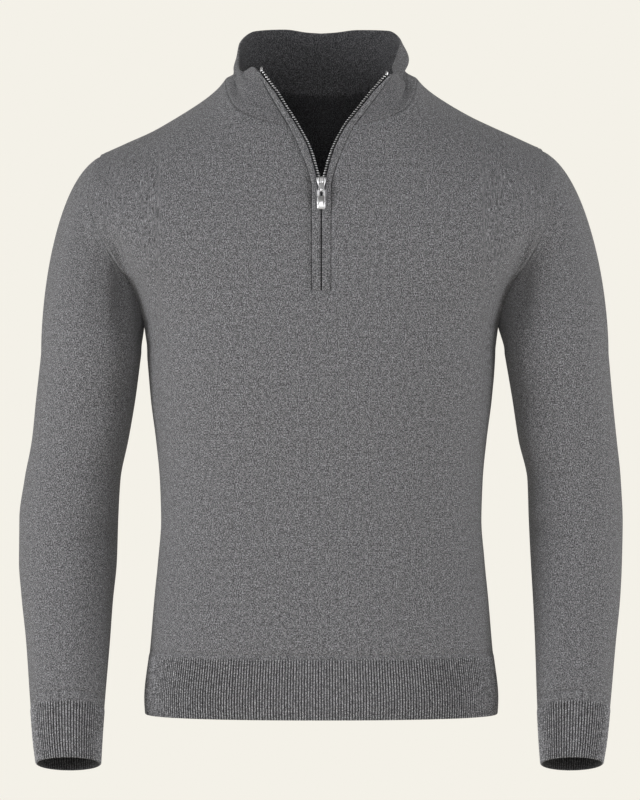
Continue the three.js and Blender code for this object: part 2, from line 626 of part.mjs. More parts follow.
const bandColumns = 3;
const bandSwell = 0.9;
const toothRoom = 0.9;
const tapeWidth = 4.6;
function zipSide(side) {
  const rows = zipRows(side);
  const strips = rows.map(({ seam, under, edge }) => {
    const inward = edge.clone().sub(seam).normalize();
    const normal = seam.clone().sub(under).normalize();
    const outer = Array.from({ length: bandColumns + 1 }, (_, i) => {
      const v = i / bandColumns;
      const start = seam.clone().addScaledVector(inward, seamGap);
      return start.lerp(edge, v).addScaledVector(normal, bandSwell * Math.sin(Math.PI * v));
    });
    const inner = outer.map((point) => point.clone().addScaledVector(normal, -bandWall));
    const behind = edge.clone().addScaledVector(normal, -bandWall - seamGap);
    const hidden = Math.min(tapeWidth, edge.distanceTo(seam) * 0.8); // the tape ends within the band's width
    const tapeFront = [behind.clone().addScaledVector(inward, toothRoom), behind.clone().addScaledVector(inward, -hidden)];
    const tapeBack = tapeFront.map((point) => point.clone().addScaledVector(normal, -tapeWall));
    return { outer, inner, tapeFront, tapeBack };
  });
  const grid = (name, count) => Array.from({ length: count }, (_, i) => strips.map((strip) => strip[name][i]));
  return {
    band: wallOf(grid("outer", bandColumns + 1), grid("inner", bandColumns + 1)),
    tape: wallOf(grid("tapeFront", 2), grid("tapeBack", 2)),
  };
}
const leftZip = zipSide(-1);
const rightZip = zipSide(1);
addPiece("zip_band_left", leftZip.band, knitGrey);
addPiece("zip_band_right", rightZip.band, knitGrey);
addPiece("zip_tape_left", leftZip.tape, tapeGrey);
addPiece("zip_tape_right", rightZip.tape, tapeGrey);

// The slider and the pull share a group on the slope of the chest, with x across, y up the zip and z out of the cloth.
const zipUp = clothPoint(0, slider.level, -1).sub(clothPoint(0, slider.level - slider.length, -1)).normalize();
const zipOut = new THREE.Vector3(1, 0, 0).cross(zipUp);
const hardware = new THREE.Group();
hardware.applyMatrix4(new THREE.Matrix4().makeBasis(new THREE.Vector3(1, 0, 0), zipUp, zipOut));
hardware.position.copy(clothPoint(0, slider.level, -1)).addScaledVector(zipOut, bandSwell + seamGap);
sweater.add(hardware);

const wasm = await Module();
wasm.setup();
function solidOf(geometry) {
  const bare = geometry.clone();
  bare.deleteAttribute("normal");
  bare.deleteAttribute("uv");
  const merged = mergeVertices(bare);
  return new wasm.Manifold(
    new wasm.Mesh({ numProp: 3, vertProperties: merged.attributes.position.array, triVerts: new Uint32Array(merged.index.array) }),
  );
}
function joined(first, second) {
  const made = solidOf(first).add(solidOf(second)).getMesh();
  const geometry = new THREE.BufferGeometry();
  geometry.setAttribute("position", new THREE.Float32BufferAttribute(made.vertProperties, 3));
  geometry.setIndex(new THREE.BufferAttribute(made.triVerts, 1));
  return geometry;
}

// The slider is a shield with two lobes at its top and an arch over it, joined into one solid.
function sliderGeometry() {
  const { width, length, thick, tip, lobe } = slider;
  const shield = new THREE.Shape();
  shield.moveTo(-tip / 2, -length / 2);
  shield.lineTo(tip / 2, -length / 2);
  shield.quadraticCurveTo(tip / 2, 0, width / 2, length / 2 - lobe);
  shield.absarc(width / 2 - lobe, length / 2 - lobe, lobe, 0, Math.PI / 2);
  shield.lineTo(0, length / 2 - lobe / 2);
  shield.lineTo(lobe - width / 2, length / 2);
  shield.absarc(lobe - width / 2, length / 2 - lobe, lobe, Math.PI / 2, Math.PI);
  shield.quadraticCurveTo(-tip / 2, 0, -tip / 2, -length / 2);
  const plate = new THREE.ExtrudeGeometry(shield, { depth: thick, bevelEnabled: false, curveSegments: 5 });
  const low = arch.middle - arch.length / 2;
  const high = arch.middle + arch.length / 2;
  const corner = 1.6;
  const foot = -0.5; // the arch's feet reach into the plate
  const side = new THREE.Shape();
  side.moveTo(low, foot);
  side.lineTo(low, arch.rise - corner);
  side.quadraticCurveTo(low, arch.rise, low + corner, arch.rise);
  side.lineTo(high - corner, arch.rise);
  side.quadraticCurveTo(high, arch.rise, high, arch.rise - corner);
  side.lineTo(high, foot);
  side.lineTo(high - arch.strap, foot);
  side.lineTo(high - arch.strap, arch.rise - arch.strap);
  side.lineTo(low + arch.strap, arch.rise - arch.strap);
  side.lineTo(low + arch.strap, foot);
  const strap = new THREE.ExtrudeGeometry(side, { depth: arch.width, bevelEnabled: false, curveSegments: 3 });
  const turn = new THREE.Matrix4().makeBasis(new THREE.Vector3(0, 1, 0), new THREE.Vector3(0, 0, 1), new THREE.Vector3(1, 0, 0));
  strap.applyMatrix4(turn).translate(-arch.width / 2, 0, thick);
  return joined(plate, strap);
}
addPiece("zip_slider", sliderGeometry(), zipSteel, hardware);

// The corner points of an upright rectangle with round corners.
function roundedOutline(halfWidth, top, bottom, corner) {
  const arcSteps = 5;
  const centres = [[halfWidth, top, 0], [-halfWidth, top, 1], [-halfWidth, bottom, 2], [halfWidth, bottom, 3]];
  return centres.flatMap(([x, y, quarter]) =>
    Array.from({ length: arcSteps + 1 }, (_, i) => {
      const turn = ((quarter + i / arcSteps) * Math.PI) / 2;
      const centre = new THREE.Vector2(x - Math.sign(x) * corner, quarter < 2 ? y - corner : y + corner);
      return centre.add(new THREE.Vector2(Math.cos(turn), Math.sin(turn)).multiplyScalar(corner));
    }),
  );
}

// The pull tab hangs by its bar under the arch, its origin in the middle of the bar.
function pullGeometry() {
  const halfBar = pull.bar / 2;
  const outline = new THREE.Shape(roundedOutline(pull.width / 2, halfBar, halfBar - pull.length, pull.round));
  const slotRound = pull.slotWidth / 2 - 0.2;
  outline.holes.push(new THREE.Path(roundedOutline(pull.slotWidth / 2, -halfBar, -halfBar - pull.slotLength, slotRound)));
  const plate = new THREE.ExtrudeGeometry(outline, { depth: pull.thick, bevelEnabled: false, curveSegments: 5 });
  return plate.translate(0, 0, -pull.thick / 2);
}
const zipPull = addPiece("zip_pull", pullGeometry(), zipSteel, hardware);
const barGap = 0.6; // room between the bar and the foot of the arch
zipPull.position.y = arch.middle - arch.length / 2 + arch.strap + pull.bar / 2 + barGap;
zipPull.position.z = slider.thick + (arch.rise - arch.strap) / 2;
zipPull.rotation.x = THREE.MathUtils.degToRad(pull.lean);

export default sweater;
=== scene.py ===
import bpy
import numpy as np
import bmesh
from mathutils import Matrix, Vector


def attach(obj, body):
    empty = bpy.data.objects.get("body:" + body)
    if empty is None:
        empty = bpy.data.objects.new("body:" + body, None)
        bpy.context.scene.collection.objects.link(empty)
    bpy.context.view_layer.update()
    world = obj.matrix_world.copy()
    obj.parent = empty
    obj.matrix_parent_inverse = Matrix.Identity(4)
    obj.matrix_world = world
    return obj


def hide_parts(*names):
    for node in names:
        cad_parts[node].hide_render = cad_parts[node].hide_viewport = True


# Looks of a quarter zip sweater in heathered grey knit. Sizes are in millimetres until a mesh is made.
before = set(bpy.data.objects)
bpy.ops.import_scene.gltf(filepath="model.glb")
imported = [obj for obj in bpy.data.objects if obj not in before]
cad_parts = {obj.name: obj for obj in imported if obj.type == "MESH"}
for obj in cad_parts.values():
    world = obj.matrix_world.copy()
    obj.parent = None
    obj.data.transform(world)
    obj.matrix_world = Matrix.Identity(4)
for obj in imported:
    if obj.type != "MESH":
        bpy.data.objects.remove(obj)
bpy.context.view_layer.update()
mm = 0.001


# Camera first: the photo is 640 x 800 and shows 1.06 mm of the sweater's middle plane in a pixel
photo = {
    "width": 640, "height": 800, "pixel": 1.06, "middleX": 321.3, "neckY": 80, "distance": 5000,
    "sensor": 24,
}


def addCamera(s):
    data = bpy.data.cameras.new("photoCamera")
    data.sensor_fit = "VERTICAL"
    data.sensor_height = s["sensor"]
    data.lens = s["sensor"] * s["distance"] / (s["height"] * s["pixel"])
    camera = bpy.data.objects.new("photoCamera", data)
    across = (s["width"] / 2 - s["middleX"]) * s["pixel"]
    level = (s["neckY"] - s["height"] / 2) * s["pixel"]
    camera.location = Vector((across, -s["distance"], level)) * mm
    camera.rotation_euler = (np.pi / 2, 0, 0)
    bpy.context.collection.objects.link(camera)
    bpy.context.scene.camera = camera


addCamera(photo)


# The cubic from one place to another with given slopes at both.
def hermite(t, start, end, leave, arrive):
    return (start * (1 + 2 * t) * (1 - t) ** 2 + leave * t * (1 - t) ** 2
            + end * t * t * (3 - 2 * t) + arrive * t * t * (t - 1))


# A smooth curve through table values, without overshoot: cubic pieces whose slopes are harmonic means.
def curveThrough(places, values):
    order = np.argsort(places)
    x, y = np.array(places, float)[order], np.array(values, float)[order]
    rise = np.diff(y) / np.diff(x)
    before, after = rise[:-1], rise[1:]
    together = before * after > 0
    middle = np.where(together, 2 * before * after / np.where(together, before + after, 1), 0)
    slope = np.concatenate(([rise[0]], middle, [rise[-1]]))

    def at(place):
        p = np.clip(place, x[0], x[-1])
        i = np.clip(np.searchsorted(x, p, side="right") - 1, 0, len(x) - 2)
        width = x[i + 1] - x[i]
        t = (p - x[i]) / width
        return hermite(t, y[i], y[i + 1], slope[i] * width, slope[i + 1] * width)

    return at


def mix(a, b, t):
    return a + (b - a) * t


def smoothStep(value, low, high):
    t = np.clip((value - low) / (high - low), 0, 1)
    return t * t * (3 - 2 * t)


def unit(v):
    return v / np.maximum(np.linalg.norm(v, axis=-1, keepdims=True), 1e-9)


# A value's size raised to a power, its sign kept.
def signedPower(value, power):
    return np.sign(value) * np.abs(value) ** power


# A soft bump of height 1: exp(-(distance / width) ^ 2).
def bell(distance, width):
    return np.exp(-((distance / width) ** 2))


# Coordinates joined as a new last axis.
def joined(*parts):
    return np.stack(np.broadcast_arrays(*parts), -1)


# Distances or angles over a closed ring, without its last point.
def ringTurns(count):
    return np.linspace(0, 2 * np.pi, count + 1)[:-1]


# Points at equal distances along a curve given for an array of runs from 0 to 1.
def evenly(curve, count, steps=600):
    run = np.linspace(0, 1, steps + 1)
    length = np.concatenate(([0], np.cumsum(np.linalg.norm(np.diff(curve(run), axis=0), axis=1))))
    return curve(np.interp(np.linspace(0, length[-1], count + 1), length, run))


# Normals of a grid, the cross product of its differences along columns and rows, turned the way of the
# given directions.
def gridNormals(points, away, closed=False):
    if closed:
        along = np.roll(points, -1, axis=0) - np.roll(points, 1, axis=0)
    else:
        along = np.gradient(points, axis=0)
    normals = unit(np.cross(along, np.gradient(points, axis=1)))
    return normals if np.sum(normals * away) > 0 else -normals


# A wall's outer and inner grids drawn together by a share of 0 to 1 in each row or column, for a round edge.
def drawnIn(outer, inner, share):
    centre = (outer + inner) / 2
    return mix(centre, outer, share), mix(centre, inner, share)


# Shares for drawnIn over a run of distances from an edge: a quarter circle of the given radius.
def roundEdge(distance, radius, nearest=0.985):
    t = np.clip(1 - distance / radius, 0, nearest)
    return np.sqrt(1 - t * t)


def makeMesh(name, points, faces, uv=None, smooth=True):
    mesh = bpy.data.meshes.new(name)
    mesh.from_pydata((np.asarray(points, float) * mm).tolist(), [], [list(map(int, f)) for f in faces])
    mesh.update()
    if uv is not None:
        layer = mesh.uv_layers.new(name="cloth")
        layer.data.foreach_set("uv", (np.asarray(uv, np.float32) * mm).ravel())
    mesh.polygons.foreach_set("use_smooth", np.full(len(mesh.polygons), smooth))
    obj = bpy.data.objects.new(name, mesh)
    bpy.context.collection.objects.link(obj)
    return obj


# A closed wall between an outer and an inner grid: both grids' kept cells, and a rim wherever a cell ends.
# A crisp rim, at the first or the last row, keeps the wall's shading even up to a flush seam.
def makeWall(name, outer, inner, uv, keep=None, closed=False, shadedInside=False, crisp=None):
    columns, rows = outer.shape[:2]
    cells = columns if closed else columns - 1
    kept = np.ones((cells, rows - 1), bool) if keep is None else keep
    c, r = np.meshgrid(np.arange(cells), np.arange(rows - 1), indexing="ij")
    uvRows = uv.shape[1]

    def corner(i, j, side):
        return (i % columns) * rows + j + side * columns * rows

    def quads(mask, corners):
        at = [(corner(c + i, r + j, side)[mask], ((c + i) * uvRows + r + j)[mask]) for i, j, side in corners]
        return np.stack([p for p, _ in at], 1), np.stack([q for _, q in at], 1)

    padded = np.zeros((cells + 2, rows + 1), bool)
    padded[1:-1, 1:-1] = kept
    if closed:
        padded[0, 1:-1], padded[-1, 1:-1] = kept[-1], kept[0]
    parts = [
        quads(kept, [(0, 0, 0), (1, 0, 0), (1, 1, 0), (0, 1, 0)]),
        quads(kept, [(0, 0, 1), (0, 1, 1), (1, 1, 1), (1, 0, 1)]),
        quads(kept & ~padded[1:-1, :-2], [(0, 0, 1), (1, 0, 1), (1, 0, 0), (0, 0, 0)]),
        quads(kept & ~padded[1:-1, 2:], [(0, 1, 0), (1, 1, 0), (1, 1, 1), (0, 1, 1)]),
        quads(kept & ~padded[:-2, 1:-1], [(0, 0, 0), (0, 1, 0), (0, 1, 1), (0, 0, 1)]),
        quads(kept & ~padded[2:, 1:-1], [(1, 0, 0), (1, 0, 1), (1, 1, 1), (1, 1, 0)]),
    ]
    faces = np.concatenate([p for p, _ in parts])
    places = np.concatenate([q for _, q in parts])
    points = np.concatenate([outer.reshape(-1, 3), inner.reshape(-1, 3)])
    a, b, d = points[faces[:, 0]], points[faces[:, 1]], points[faces[:, 2]]
    e = points[faces[:, 3]]
    volume = np.einsum("ij,ij->", a, np.cross(b, d)) + np.einsum("ij,ij->", a, np.cross(d, e))
    if volume < 0:
        faces, places = faces[:, ::-1], places[:, ::-1]
    used, back = np.unique(faces, return_inverse=True)
    rim = {"first": 2, "last": 3}.get(crisp)
    smooth = np.concatenate([np.full(len(p), i != rim) for i, (p, _) in enumerate(parts)])
    obj = makeMesh(name, points[used], back.reshape(faces.shape), uv.reshape(-1, 2)[places], smooth)
    if shadedInside:  # the inner faces get a darker copy of the material: painted shade for the dim inside of the garment
        slots = np.concatenate([np.full(len(p), int(i == 1)) for i, (p, _) in enumerate(parts)])
        obj.data.polygons.foreach_set("material_index", slots.astype(np.int32))
    return obj


# Distance along a grid's columns or rows, from its first point.
def runLength(points, axis):
    step = np.linalg.norm(np.diff(points, axis=axis), axis=-1)
    pad = [(0, 0), (0, 0)]
    pad[axis] = (1, 0)
    return np.pad(np.cumsum(step, axis=axis), pad)


# Soft creases: each is a line between two places, with a width and a height (below zero for a trough), that
# fades at both ends. The scale turns the tables' first coordinate into millimetres.
# The sum over the creases of height * exp(-(distance / width) ^ 2) * fade.
creaseEnds = {"begin": (-0.15, 0.3), "end": (0.7, 1.15)}


def creases(x, z, lines, scale=1):
    total = np.zeros(np.broadcast(x, z).shape)
    for x0, z0, x1, z1, bow, width, height in lines:
        x0, x1 = x0 * scale, x1 * scale
        dx, dz = x1 - x0, z1 - z0
        size = dx * dx + dz * dz
        t = ((x - x0) * dx + (z - z0) * dz) / size
        off = ((x - x0) * dz - (z - z0) * dx) / np.sqrt(size) - bow * 4 * t * (1 - t)
        fade = smoothStep(t, *creaseEnds["begin"]) * (1 - smoothStep(t, *creaseEnds["end"]))
        total = total + height * bell(off, width) * fade
    return total


# Fine lines along a seam, each as its distance from the seam, its width and its height.
def seamLines(distance, lines):
    return sum(height * bell(distance - place, width) for place, width, height in lines)


# Body
body = {
    "wall": 2, "underarm": -262, "hemTop": -604, "hemBottom": -671.5, "chest": -200, "ridgeDepth": 6,
    "power": 2.35, "slotHalf": 10.3, "foldShare": 0.6, "seamFade": 30, "slotSink": 0.9, "slotWidth": 1.8,
    "seamLines": [(0, 1.3, -0.9), (3, 1.1, 0.5), (7, 1.1, 0.35)],
    "neckLift": 2.2, "neckReach": 10, "neckFade": 14, "armLift": (0.3, 1),
    "level": [-674, -655, -604, -551, -509, -466, -424, -382, -339, -297, -262, -240, -220, -200, -155,
              -100, 60],
    "half": [186, 187, 181.5, 177, 173, 169.6, 171, 175, 180.5, 184, 187.5, 197, 210, 232, 272, 300, 330],
    "front": [111, 113, 113, 112, 112, 112, 114, 118, 124, 128, 130, 130, 129, 128, 127, 127, 127],
    "back": [104, 105, 103, 100, 98, 97, 100, 106, 113, 119, 122, 123, 124, 124, 124, 124, 124],
    "ridgeAcross": [0, 50, 80, 100, 110, 124, 157, 180, 209, 235, 250, 300],
    "ridgeLeft": [34, 29, 16, -0.5, -10, -21, -42, -55, -68, -80.5, -93, -150],
    "ridgeRight": [34, 29, 16, 0, -8.5, -18.5, -38, -49, -62, -74.5, -85, -142],
    "armRun": [0, 0.12, 0.26, 0.4, 0.54, 0.67, 0.79, 0.9, 1],
    "armAcross": [187.5, 192, 201, 213, 226, 238, 245, 242, 235],
    "armLevel": [-262, -242, -218, -200, -179, -153, -128, -103, -80.5],
    "foldLevel": [-270, -250, -228, -205, -180, -160],
    "foldAcross": [182, 190, 196, 203, 212, 220],
    "foldSink": [0, 10, 19, 17, 9, 1],
    "foldWidth": 9,
    "middleLevels": [-262, -244, -226, -182, -142, -118, -98, -75, -53],
    "slotRow": 2, "neckRows": 6, "fine": 7, "lowerRows": 88, "stripColumns": 6,
    "seamColumns": 9, "seamShare": 0.05, "plainColumns": 54,
}
neck = {
    "frontRun": [0, 0.2, 0.4, 0.6, 0.8, 1], "frontAcross": [100, 97, 89, 75.5, 57, 34.5],
    "frontLevel": [-0.5, -17, -33, -42.5, -48.5, -53],
    "backRun": [0, 0.35, 0.65, 1], "backAcross": [100, 82, 52, 10.3], "backLevel": [-0.5, -6, -11, -13],
}
zipLine = {
    "level": [-226, -126, -116, -104, -95, -79.5, -66, -53, -33, -20, -8, 5],
    "seam": [10.3, 10.3, 10.7, 13.4, 16.2, 22.3, 28, 34.5, 46, 54.3, 62, 70],
    "edge": [0.8, 0.8, 3.4, 6.4, 8.7, 13.4, 19.3, 26.6, 39.4, 48.3, 59, 69.5],
}
neckRow = len(body["middleLevels"]) - 1
upperRows = neckRow + body["neckRows"]
halfAt = curveThrough(body["level"], body["half"])
depthAt = {-1: curveThrough(body["level"], body["front"]), 1: curveThrough(body["level"], body["back"])}
ridgeOf = {-1: curveThrough(body["ridgeAcross"], body["ridgeLeft"]),
           1: curveThrough(body["ridgeAcross"], body["ridgeRight"])}
foldAcrossAt = curveThrough(body["foldLevel"], body["foldAcross"])
foldSinkAt = curveThrough(body["foldLevel"], body["foldSink"])
zipSeamAt = curveThrough(zipLine["level"], zipLine["seam"])
zipEdgeAt = curveThrough(zipLine["level"], zipLine["edge"])

# Creases as x0, z0, x1, z1, bow, width, height. Those of the back are of the same kind, placed differently.
bodyCreases = {
    -1: [
        (-188, -285, -120, -240, 6, 9, -1.6), (-180, -300, -105, -300, 5, 14, 1.2),
        (-150, -215, -90, -165, -5, 16, 1.0), (186, -285, 118, -248, -5, 10, -1.8),
        (182, -308, 120, -322, -6, 13, 1.3), (150, -205, 100, -150, 6, 15, 1.1),
        (-160, -440, -70, -470, 8, 22, 1.6), (158, -430, 60, -455, -6, 24, 1.5),
        (-165, -500, -90, -560, -8, 18, -1.3), (160, -505, 95, -575, 8, 20, -1.4),
        (-60, -500, -20, -590, 5, 26, 1.0), (50, -520, 40, -600, 0, 24, 0.9),
        (-130, -90, -60, -70, 4, 16, 1.0), (128, -84, 66, -66, -4, 17, 1.1),
        (-40, -260, -30, -420, 4, 40, 0.9), (36, -300, 30, -460, -3, 38, 0.8),
        (42, -112, 80, -60, 4, 17, -2.4), (-58, -100, -94, -60, -4, 14, -1.8),
        (-14, -229, 14, -229, 0, 2.0, -0.8),
    ],
    1: [
        (-186, -280, -110, -230, 6, 10, -1.8), (184, -290, 115, -236, -6, 9, -1.6),
        (-175, -320, -80, -330, 6, 16, 1.4), (172, -312, 90, -340, -5, 15, 1.3),
        (-150, -425, -30, -450, 9, 20, 1.8), (150, -445, 20, -480, -8, 22, 1.7),
        (-140, -500, -60, -540, -8, 18, -1.5), (145, -520, 50, -560, 7, 20, -1.4),
        (-90, -120, -20, -150, 8, 22, 1.3), (95, -112, 25, -146, -7, 20, 1.2),
        (-60, -70, 60, -66, 6, 12, -0.9), (0, -160, 6, -380, 4, 45, -1.6),
    ],
}


def ridgeAt(x):
    return np.where(x < 0, ridgeOf[-1](np.abs(x)), ridgeOf[1](np.abs(x)))


# Depth of the cloth over a place of the front view:
# section depth * (1 - |x / half| ^ power) ^ (1 / power) * sqrt(1 - rise ^ 2), less the fold by the arm.
def clothDepth(x, z, face):
    rise = np.clip((z - body["chest"]) / (ridgeAt(x) - body["chest"]), 0, 1)
    inside = np.clip(1 - (np.abs(x) / halfAt(z)) ** body["power"], 0, None)
    depth = depthAt[face](z) * inside ** (1 / body["power"]) * np.sqrt(1 - rise * rise)
    sink = foldSinkAt(z) * bell(np.abs(x) - foldAcrossAt(z), body["foldWidth"])
    kept = np.maximum(0, depth - np.minimum(sink, depth * body["foldShare"]))
    return body["ridgeDepth"] * smoothStep(rise, 0, 1) + face * kept


def clothPoint(x, z, face):
    x, z = np.broadcast_arrays(np.asarray(x, float), np.asarray(z, float))
    return joined(x, clothDepth(x, z, face), z)


# The cloth's outward normal: (-dy/dx, 1, -dy/dz) turned to the face's side, over a millimetre.
def clothNormal(x, z, face, step=0.5):
    slopeX = (clothDepth(x + step, z, face) - clothDepth(x - step, z, face)) / (2 * step)
    slopeZ = (clothDepth(x, z + step, face) - clothDepth(x, z - step, face)) / (2 * step)
    return unit(face * joined(-slopeX, 1, -slopeZ))


# Where a place of the panel lies on the flat knit: lengths measured over the cloth, level from the middle
# and straight up from the hem.
def flatPlace(x, z, face, steps=28):
    share = np.sin(np.linspace(0, np.pi / 2, steps + 1))
    alongX = x[..., None] * share
    depth = clothDepth(alongX, np.repeat(z[..., None], steps + 1, -1), face)
    u = np.sum(np.hypot(np.diff(alongX), np.diff(depth)), -1) * np.sign(x)
    alongZ = body["hemTop"] + (z - body["hemTop"])[..., None] * share
    depth = clothDepth(np.repeat(x[..., None], steps + 1, -1), alongZ, face)
    v = np.sum(np.hypot(np.diff(alongZ), np.diff(depth)), -1)
    return joined(u, v)


def armholeOf(side, face):
    across, level = (curveThrough(body["armRun"], body[key]) for key in ("armAcross", "armLevel"))
    lift = ridgeAt(np.array(side * body["armAcross"][-1])) - body["armLevel"][-1]

    def curve(run):
        return clothPoint(side * across(run), level(run) + lift * smoothStep(run, *body["armLift"]), face)

    return evenly(curve, upperRows * body["fine"])


def neckOf(side, face):
    key = "front" if face < 0 else "back"
    across, level = (curveThrough(neck[key + "Run"], neck[key + part]) for part in ("Across", "Level"))
    lift = ridgeAt(np.array(side * neck[key + "Across"][0])) - neck[key + "Level"][0]
    return evenly(lambda run: clothPoint(side * across(1 - run), level(1 - run) + lift * run, face),
                  body["neckRows"] * body["fine"])


# One half of a panel as across and level over (column, row): squeezed sections up to the underarm, and above
# it a Coons patch between armhole, shoulder seam, underarm row and the middle with the neck seam.
def panelHalf(side, face):
    fine = body["fine"]
    a = np.concatenate([np.linspace(0, body["seamShare"], body["seamColumns"])[:-1],
                        np.linspace(body["seamShare"], 1, body["plainColumns"])])[:, None]
    squeeze = np.cos(a * np.pi / 2) ** (2 / body["power"])
    low = mix(body["hemTop"], body["underarm"], np.linspace(0, 1, body["lowerRows"] + 1)[:-1])[None, :]
    lowAcross = mix(body["slotHalf"], halfAt(low), squeeze)
    k = np.arange(upperRows * fine + 1) / fine
    rise = np.sin(k / upperRows * np.pi / 2)
    arm, seam = armholeOf(side, face), neckOf(side, face)
    middleZ = np.interp(k, np.arange(neckRow + 1), body["middleLevels"])
    if face > 0:
        middleZ = mix(body["underarm"], neck["backLevel"][-1], np.clip(k / neckRow, 0, 1))
    middleX = zipSeamAt(middleZ) if face < 0 else np.full(k.shape, body["slotHalf"])
    over = slice(neckRow * fine, None)
    middleX[over], middleZ[over] = np.abs(seam[:, 0]), seam[:, 2]
    armX, armZ = np.abs(arm[:, 0]), arm[:, 2]
    bottomX = mix(body["slotHalf"], halfAt(body["underarm"]), squeeze)
    topX = mix(armX[-1], middleX[-1], a)
    topZ = ridgeAt(side * topX)

    def patch(bottom, top, outerEdge, innerEdge):
        outerPull = outerEdge - mix(outerEdge[0], outerEdge[-1], rise)
        innerPull = innerEdge - mix(innerEdge[0], innerEdge[-1], rise)
        return mix(bottom, top, rise[None, :]) + outerPull * (1 - a) + innerPull * a

    highX = patch(bottomX, topX, armX, middleX)
    highZ = patch(np.full(a.shape, body["underarm"]), topZ, armZ, middleZ)
    across = np.concatenate([lowAcross, highX], 1)
    level = np.concatenate([np.repeat(low, len(a), 0), highZ], 1)
    return side * across, level


def makePanel(name, face):
    first, second = panelHalf(-1, face), panelHalf(1, face)
    strip = np.linspace(0, 1, body["stripColumns"] + 1)[1:-1, None]
    x, z = (np.concatenate([left, mix(left[-1], right[-1], strip), right[::-1]])
            for left, right in zip(first, second))
    half = len(first[0])
    columns = {-1: half - 1, 1: len(x) - half}
    row = np.arange(x.shape[1])
    neckBase = body["lowerRows"] + neckRow * body["fine"]
    openRow = body["lowerRows"] + body["slotRow"] * body["fine"] if face < 0 else neckBase
    keep = np.ones((len(x) - 1, x.shape[1] - 1), bool)
    keep[columns[-1]:columns[1], openRow:] = False
    normal = clothNormal(x, z, face)
    # the sewn armhole edge: a sunk line at the seam, then two fine ridges over the seam's turnings
    points = clothPoint(x, z, face)
    edge = np.minimum(runLength(points, 0), runLength(points[::-1], 0)[::-1])
    upper = smoothStep(z, body["underarm"], body["underarm"] + body["seamFade"])
    lift = creases(x, z, bodyCreases[face]) + upper * seamLines(edge, body["seamLines"])
    if face < 0:  # and the sunk line where the zip bands are sewn on
        slot = np.minimum(*(np.abs(x - x[c]) for c in columns.values()))
        lift = lift - body["slotSink"] * bell(slot, body["slotWidth"]) * (row >= openRow) * (row <= neckBase)
    fromNeck = np.minimum(*(np.hypot(x - x[c], z - z[c]) for c in columns.values()))
    neckFade = smoothStep(row, neckBase, neckBase + body["neckFade"])
    lift = lift + body["neckLift"] * np.exp(-fromNeck / body["neckReach"]) * neckFade
    outer = points + normal * lift[..., None]
    inner = outer - normal * body["wall"]
    obj = makeWall(name, outer, inner, flatPlace(x, z, face), keep, shadedInside=True, crisp="last")
    return {"obj": obj, "outer": outer, "inner": inner, "normal": normal, "columns": columns,
            "ends": {-1: 0, 1: len(x) - 1}}


front = makePanel("frontPanelKnit", -1)
back = makePanel("backPanelKnit", 1)
print("panels made")


# Sleeves and cuffs
arm = {
    "level": [-290, -339, -382, -424, -466, -509, -551, -593, -654, -696, -720],
    "outer": {-1: [297, 302.4, 306.7, 315, 320.4, 320.4, 316.7, 311.6, 306.2, 302.1, 298.5],
              1: [304.5, 309, 313.4, 317.7, 319.8, 318.7, 316, 311, 304.4, 299.3, 294.8]},
    "inner": {-1: [191, 197.5, 205, 213.4, 215.5, 216.6, 220.4, 223, 227.4, 229.9, 230.8],
              1: [194.5, 203, 209.6, 219, 220.2, 222, 224, 225.5, 226.7, 228.2, 229.6]},
    "depth": [2, 5, 7, 8, 6, 0, -10, -22, -41, -55, -64],
    "thick": [67, 64, 62, 61, 59, 56, 52, 48, 41, 36, 32.5],
    "tilt": [0, 0, 0, 2, 5, 10, 13, 15, 17, 17, 17],
    "square": 2.6, "squareLevels": (-500, -400), "top": -290, "cuffTop": -654, "cuffBottom": -720, "wall": 2,
    "seamShare": 0.1, "seamRows": 12, "headRows": 34, "lowerRows": 84, "flush": (0.1, 0.4), "arrive": 0.95,
    "turnScale": 0.9, "creaseFrom": (10, 40), "creaseFade": 30, "seamFrom": (0.05, 0.25),
    "seamTop": (0.6, 0.9), "seamLeft": 0.35, "seamLines": [(2.4, 0.9, 0.9), (5.6, 0.9, 0.8)],
}
# Creases over the turn round the arm in degrees (0 outside, 90 front, 180 inside) and the level.
sleeveCreases = {
    -1: [
        (150, -330, 95, -352, 4, 9, -1.8), (160, -352, 100, -380, 4, 10, 1.6),
        (165, -420, 100, -408, 3, 8, -1.7), (170, -445, 95, -440, -3, 9, 1.7),
        (172, -470, 105, -486, -3, 9, -1.9), (160, -505, 90, -520, 4, 12, 1.6),
        (100, -600, 30, -588, 3, 12, 1.2), (60, -560, 10, -540, 3, 14, 1.0),
        (-160, -340, -100, -356, 4, 9, -1.7), (-165, -430, -90, -446, 4, 10, 1.8),
        (-168, -468, -100, -462, -3, 9, -1.9), (-150, -520, -80, -536, 4, 12, 1.5),
        (-90, -610, -20, -598, 3, 12, 1.2), (50, -300, 20, -420, 6, 20, 0.9),
    ],
    1: [
        (148, -335, 98, -360, 4, 9, -1.7), (165, -365, 105, -388, 4, 11, 1.7),
        (168, -430, 108, -418, 3, 8, -1.6), (170, -452, 92, -456, -3, 10, 1.6),
        (174, -482, 110, -474, 3, 8, -2.1), (162, -500, 96, -516, 4, 11, 1.6),
        (105, -590, 36, -602, -3, 12, 1.2), (55, -545, 12, -560, 3, 15, 1.0),
        (-158, -346, -96, -350, 4, 9, -1.8), (-162, -424, -94, -438, 4, 10, 1.7),
        (-170, -476, -104, -470, -3, 9, -1.8), (-148, -512, -84, -530, 4, 12, 1.6),
        (-95, -600, -24, -612, 3, 12, 1.1), (46, -310, 22, -430, -6, 22, 0.9),
    ],
}
armTables = {key: curveThrough(arm["level"], arm[key]) for key in ("depth", "thick", "tilt")}
armEdges = {(key, side): curveThrough(arm["level"], arm[key][side]) for key in ("outer", "inner")
            for side in (-1, 1)}


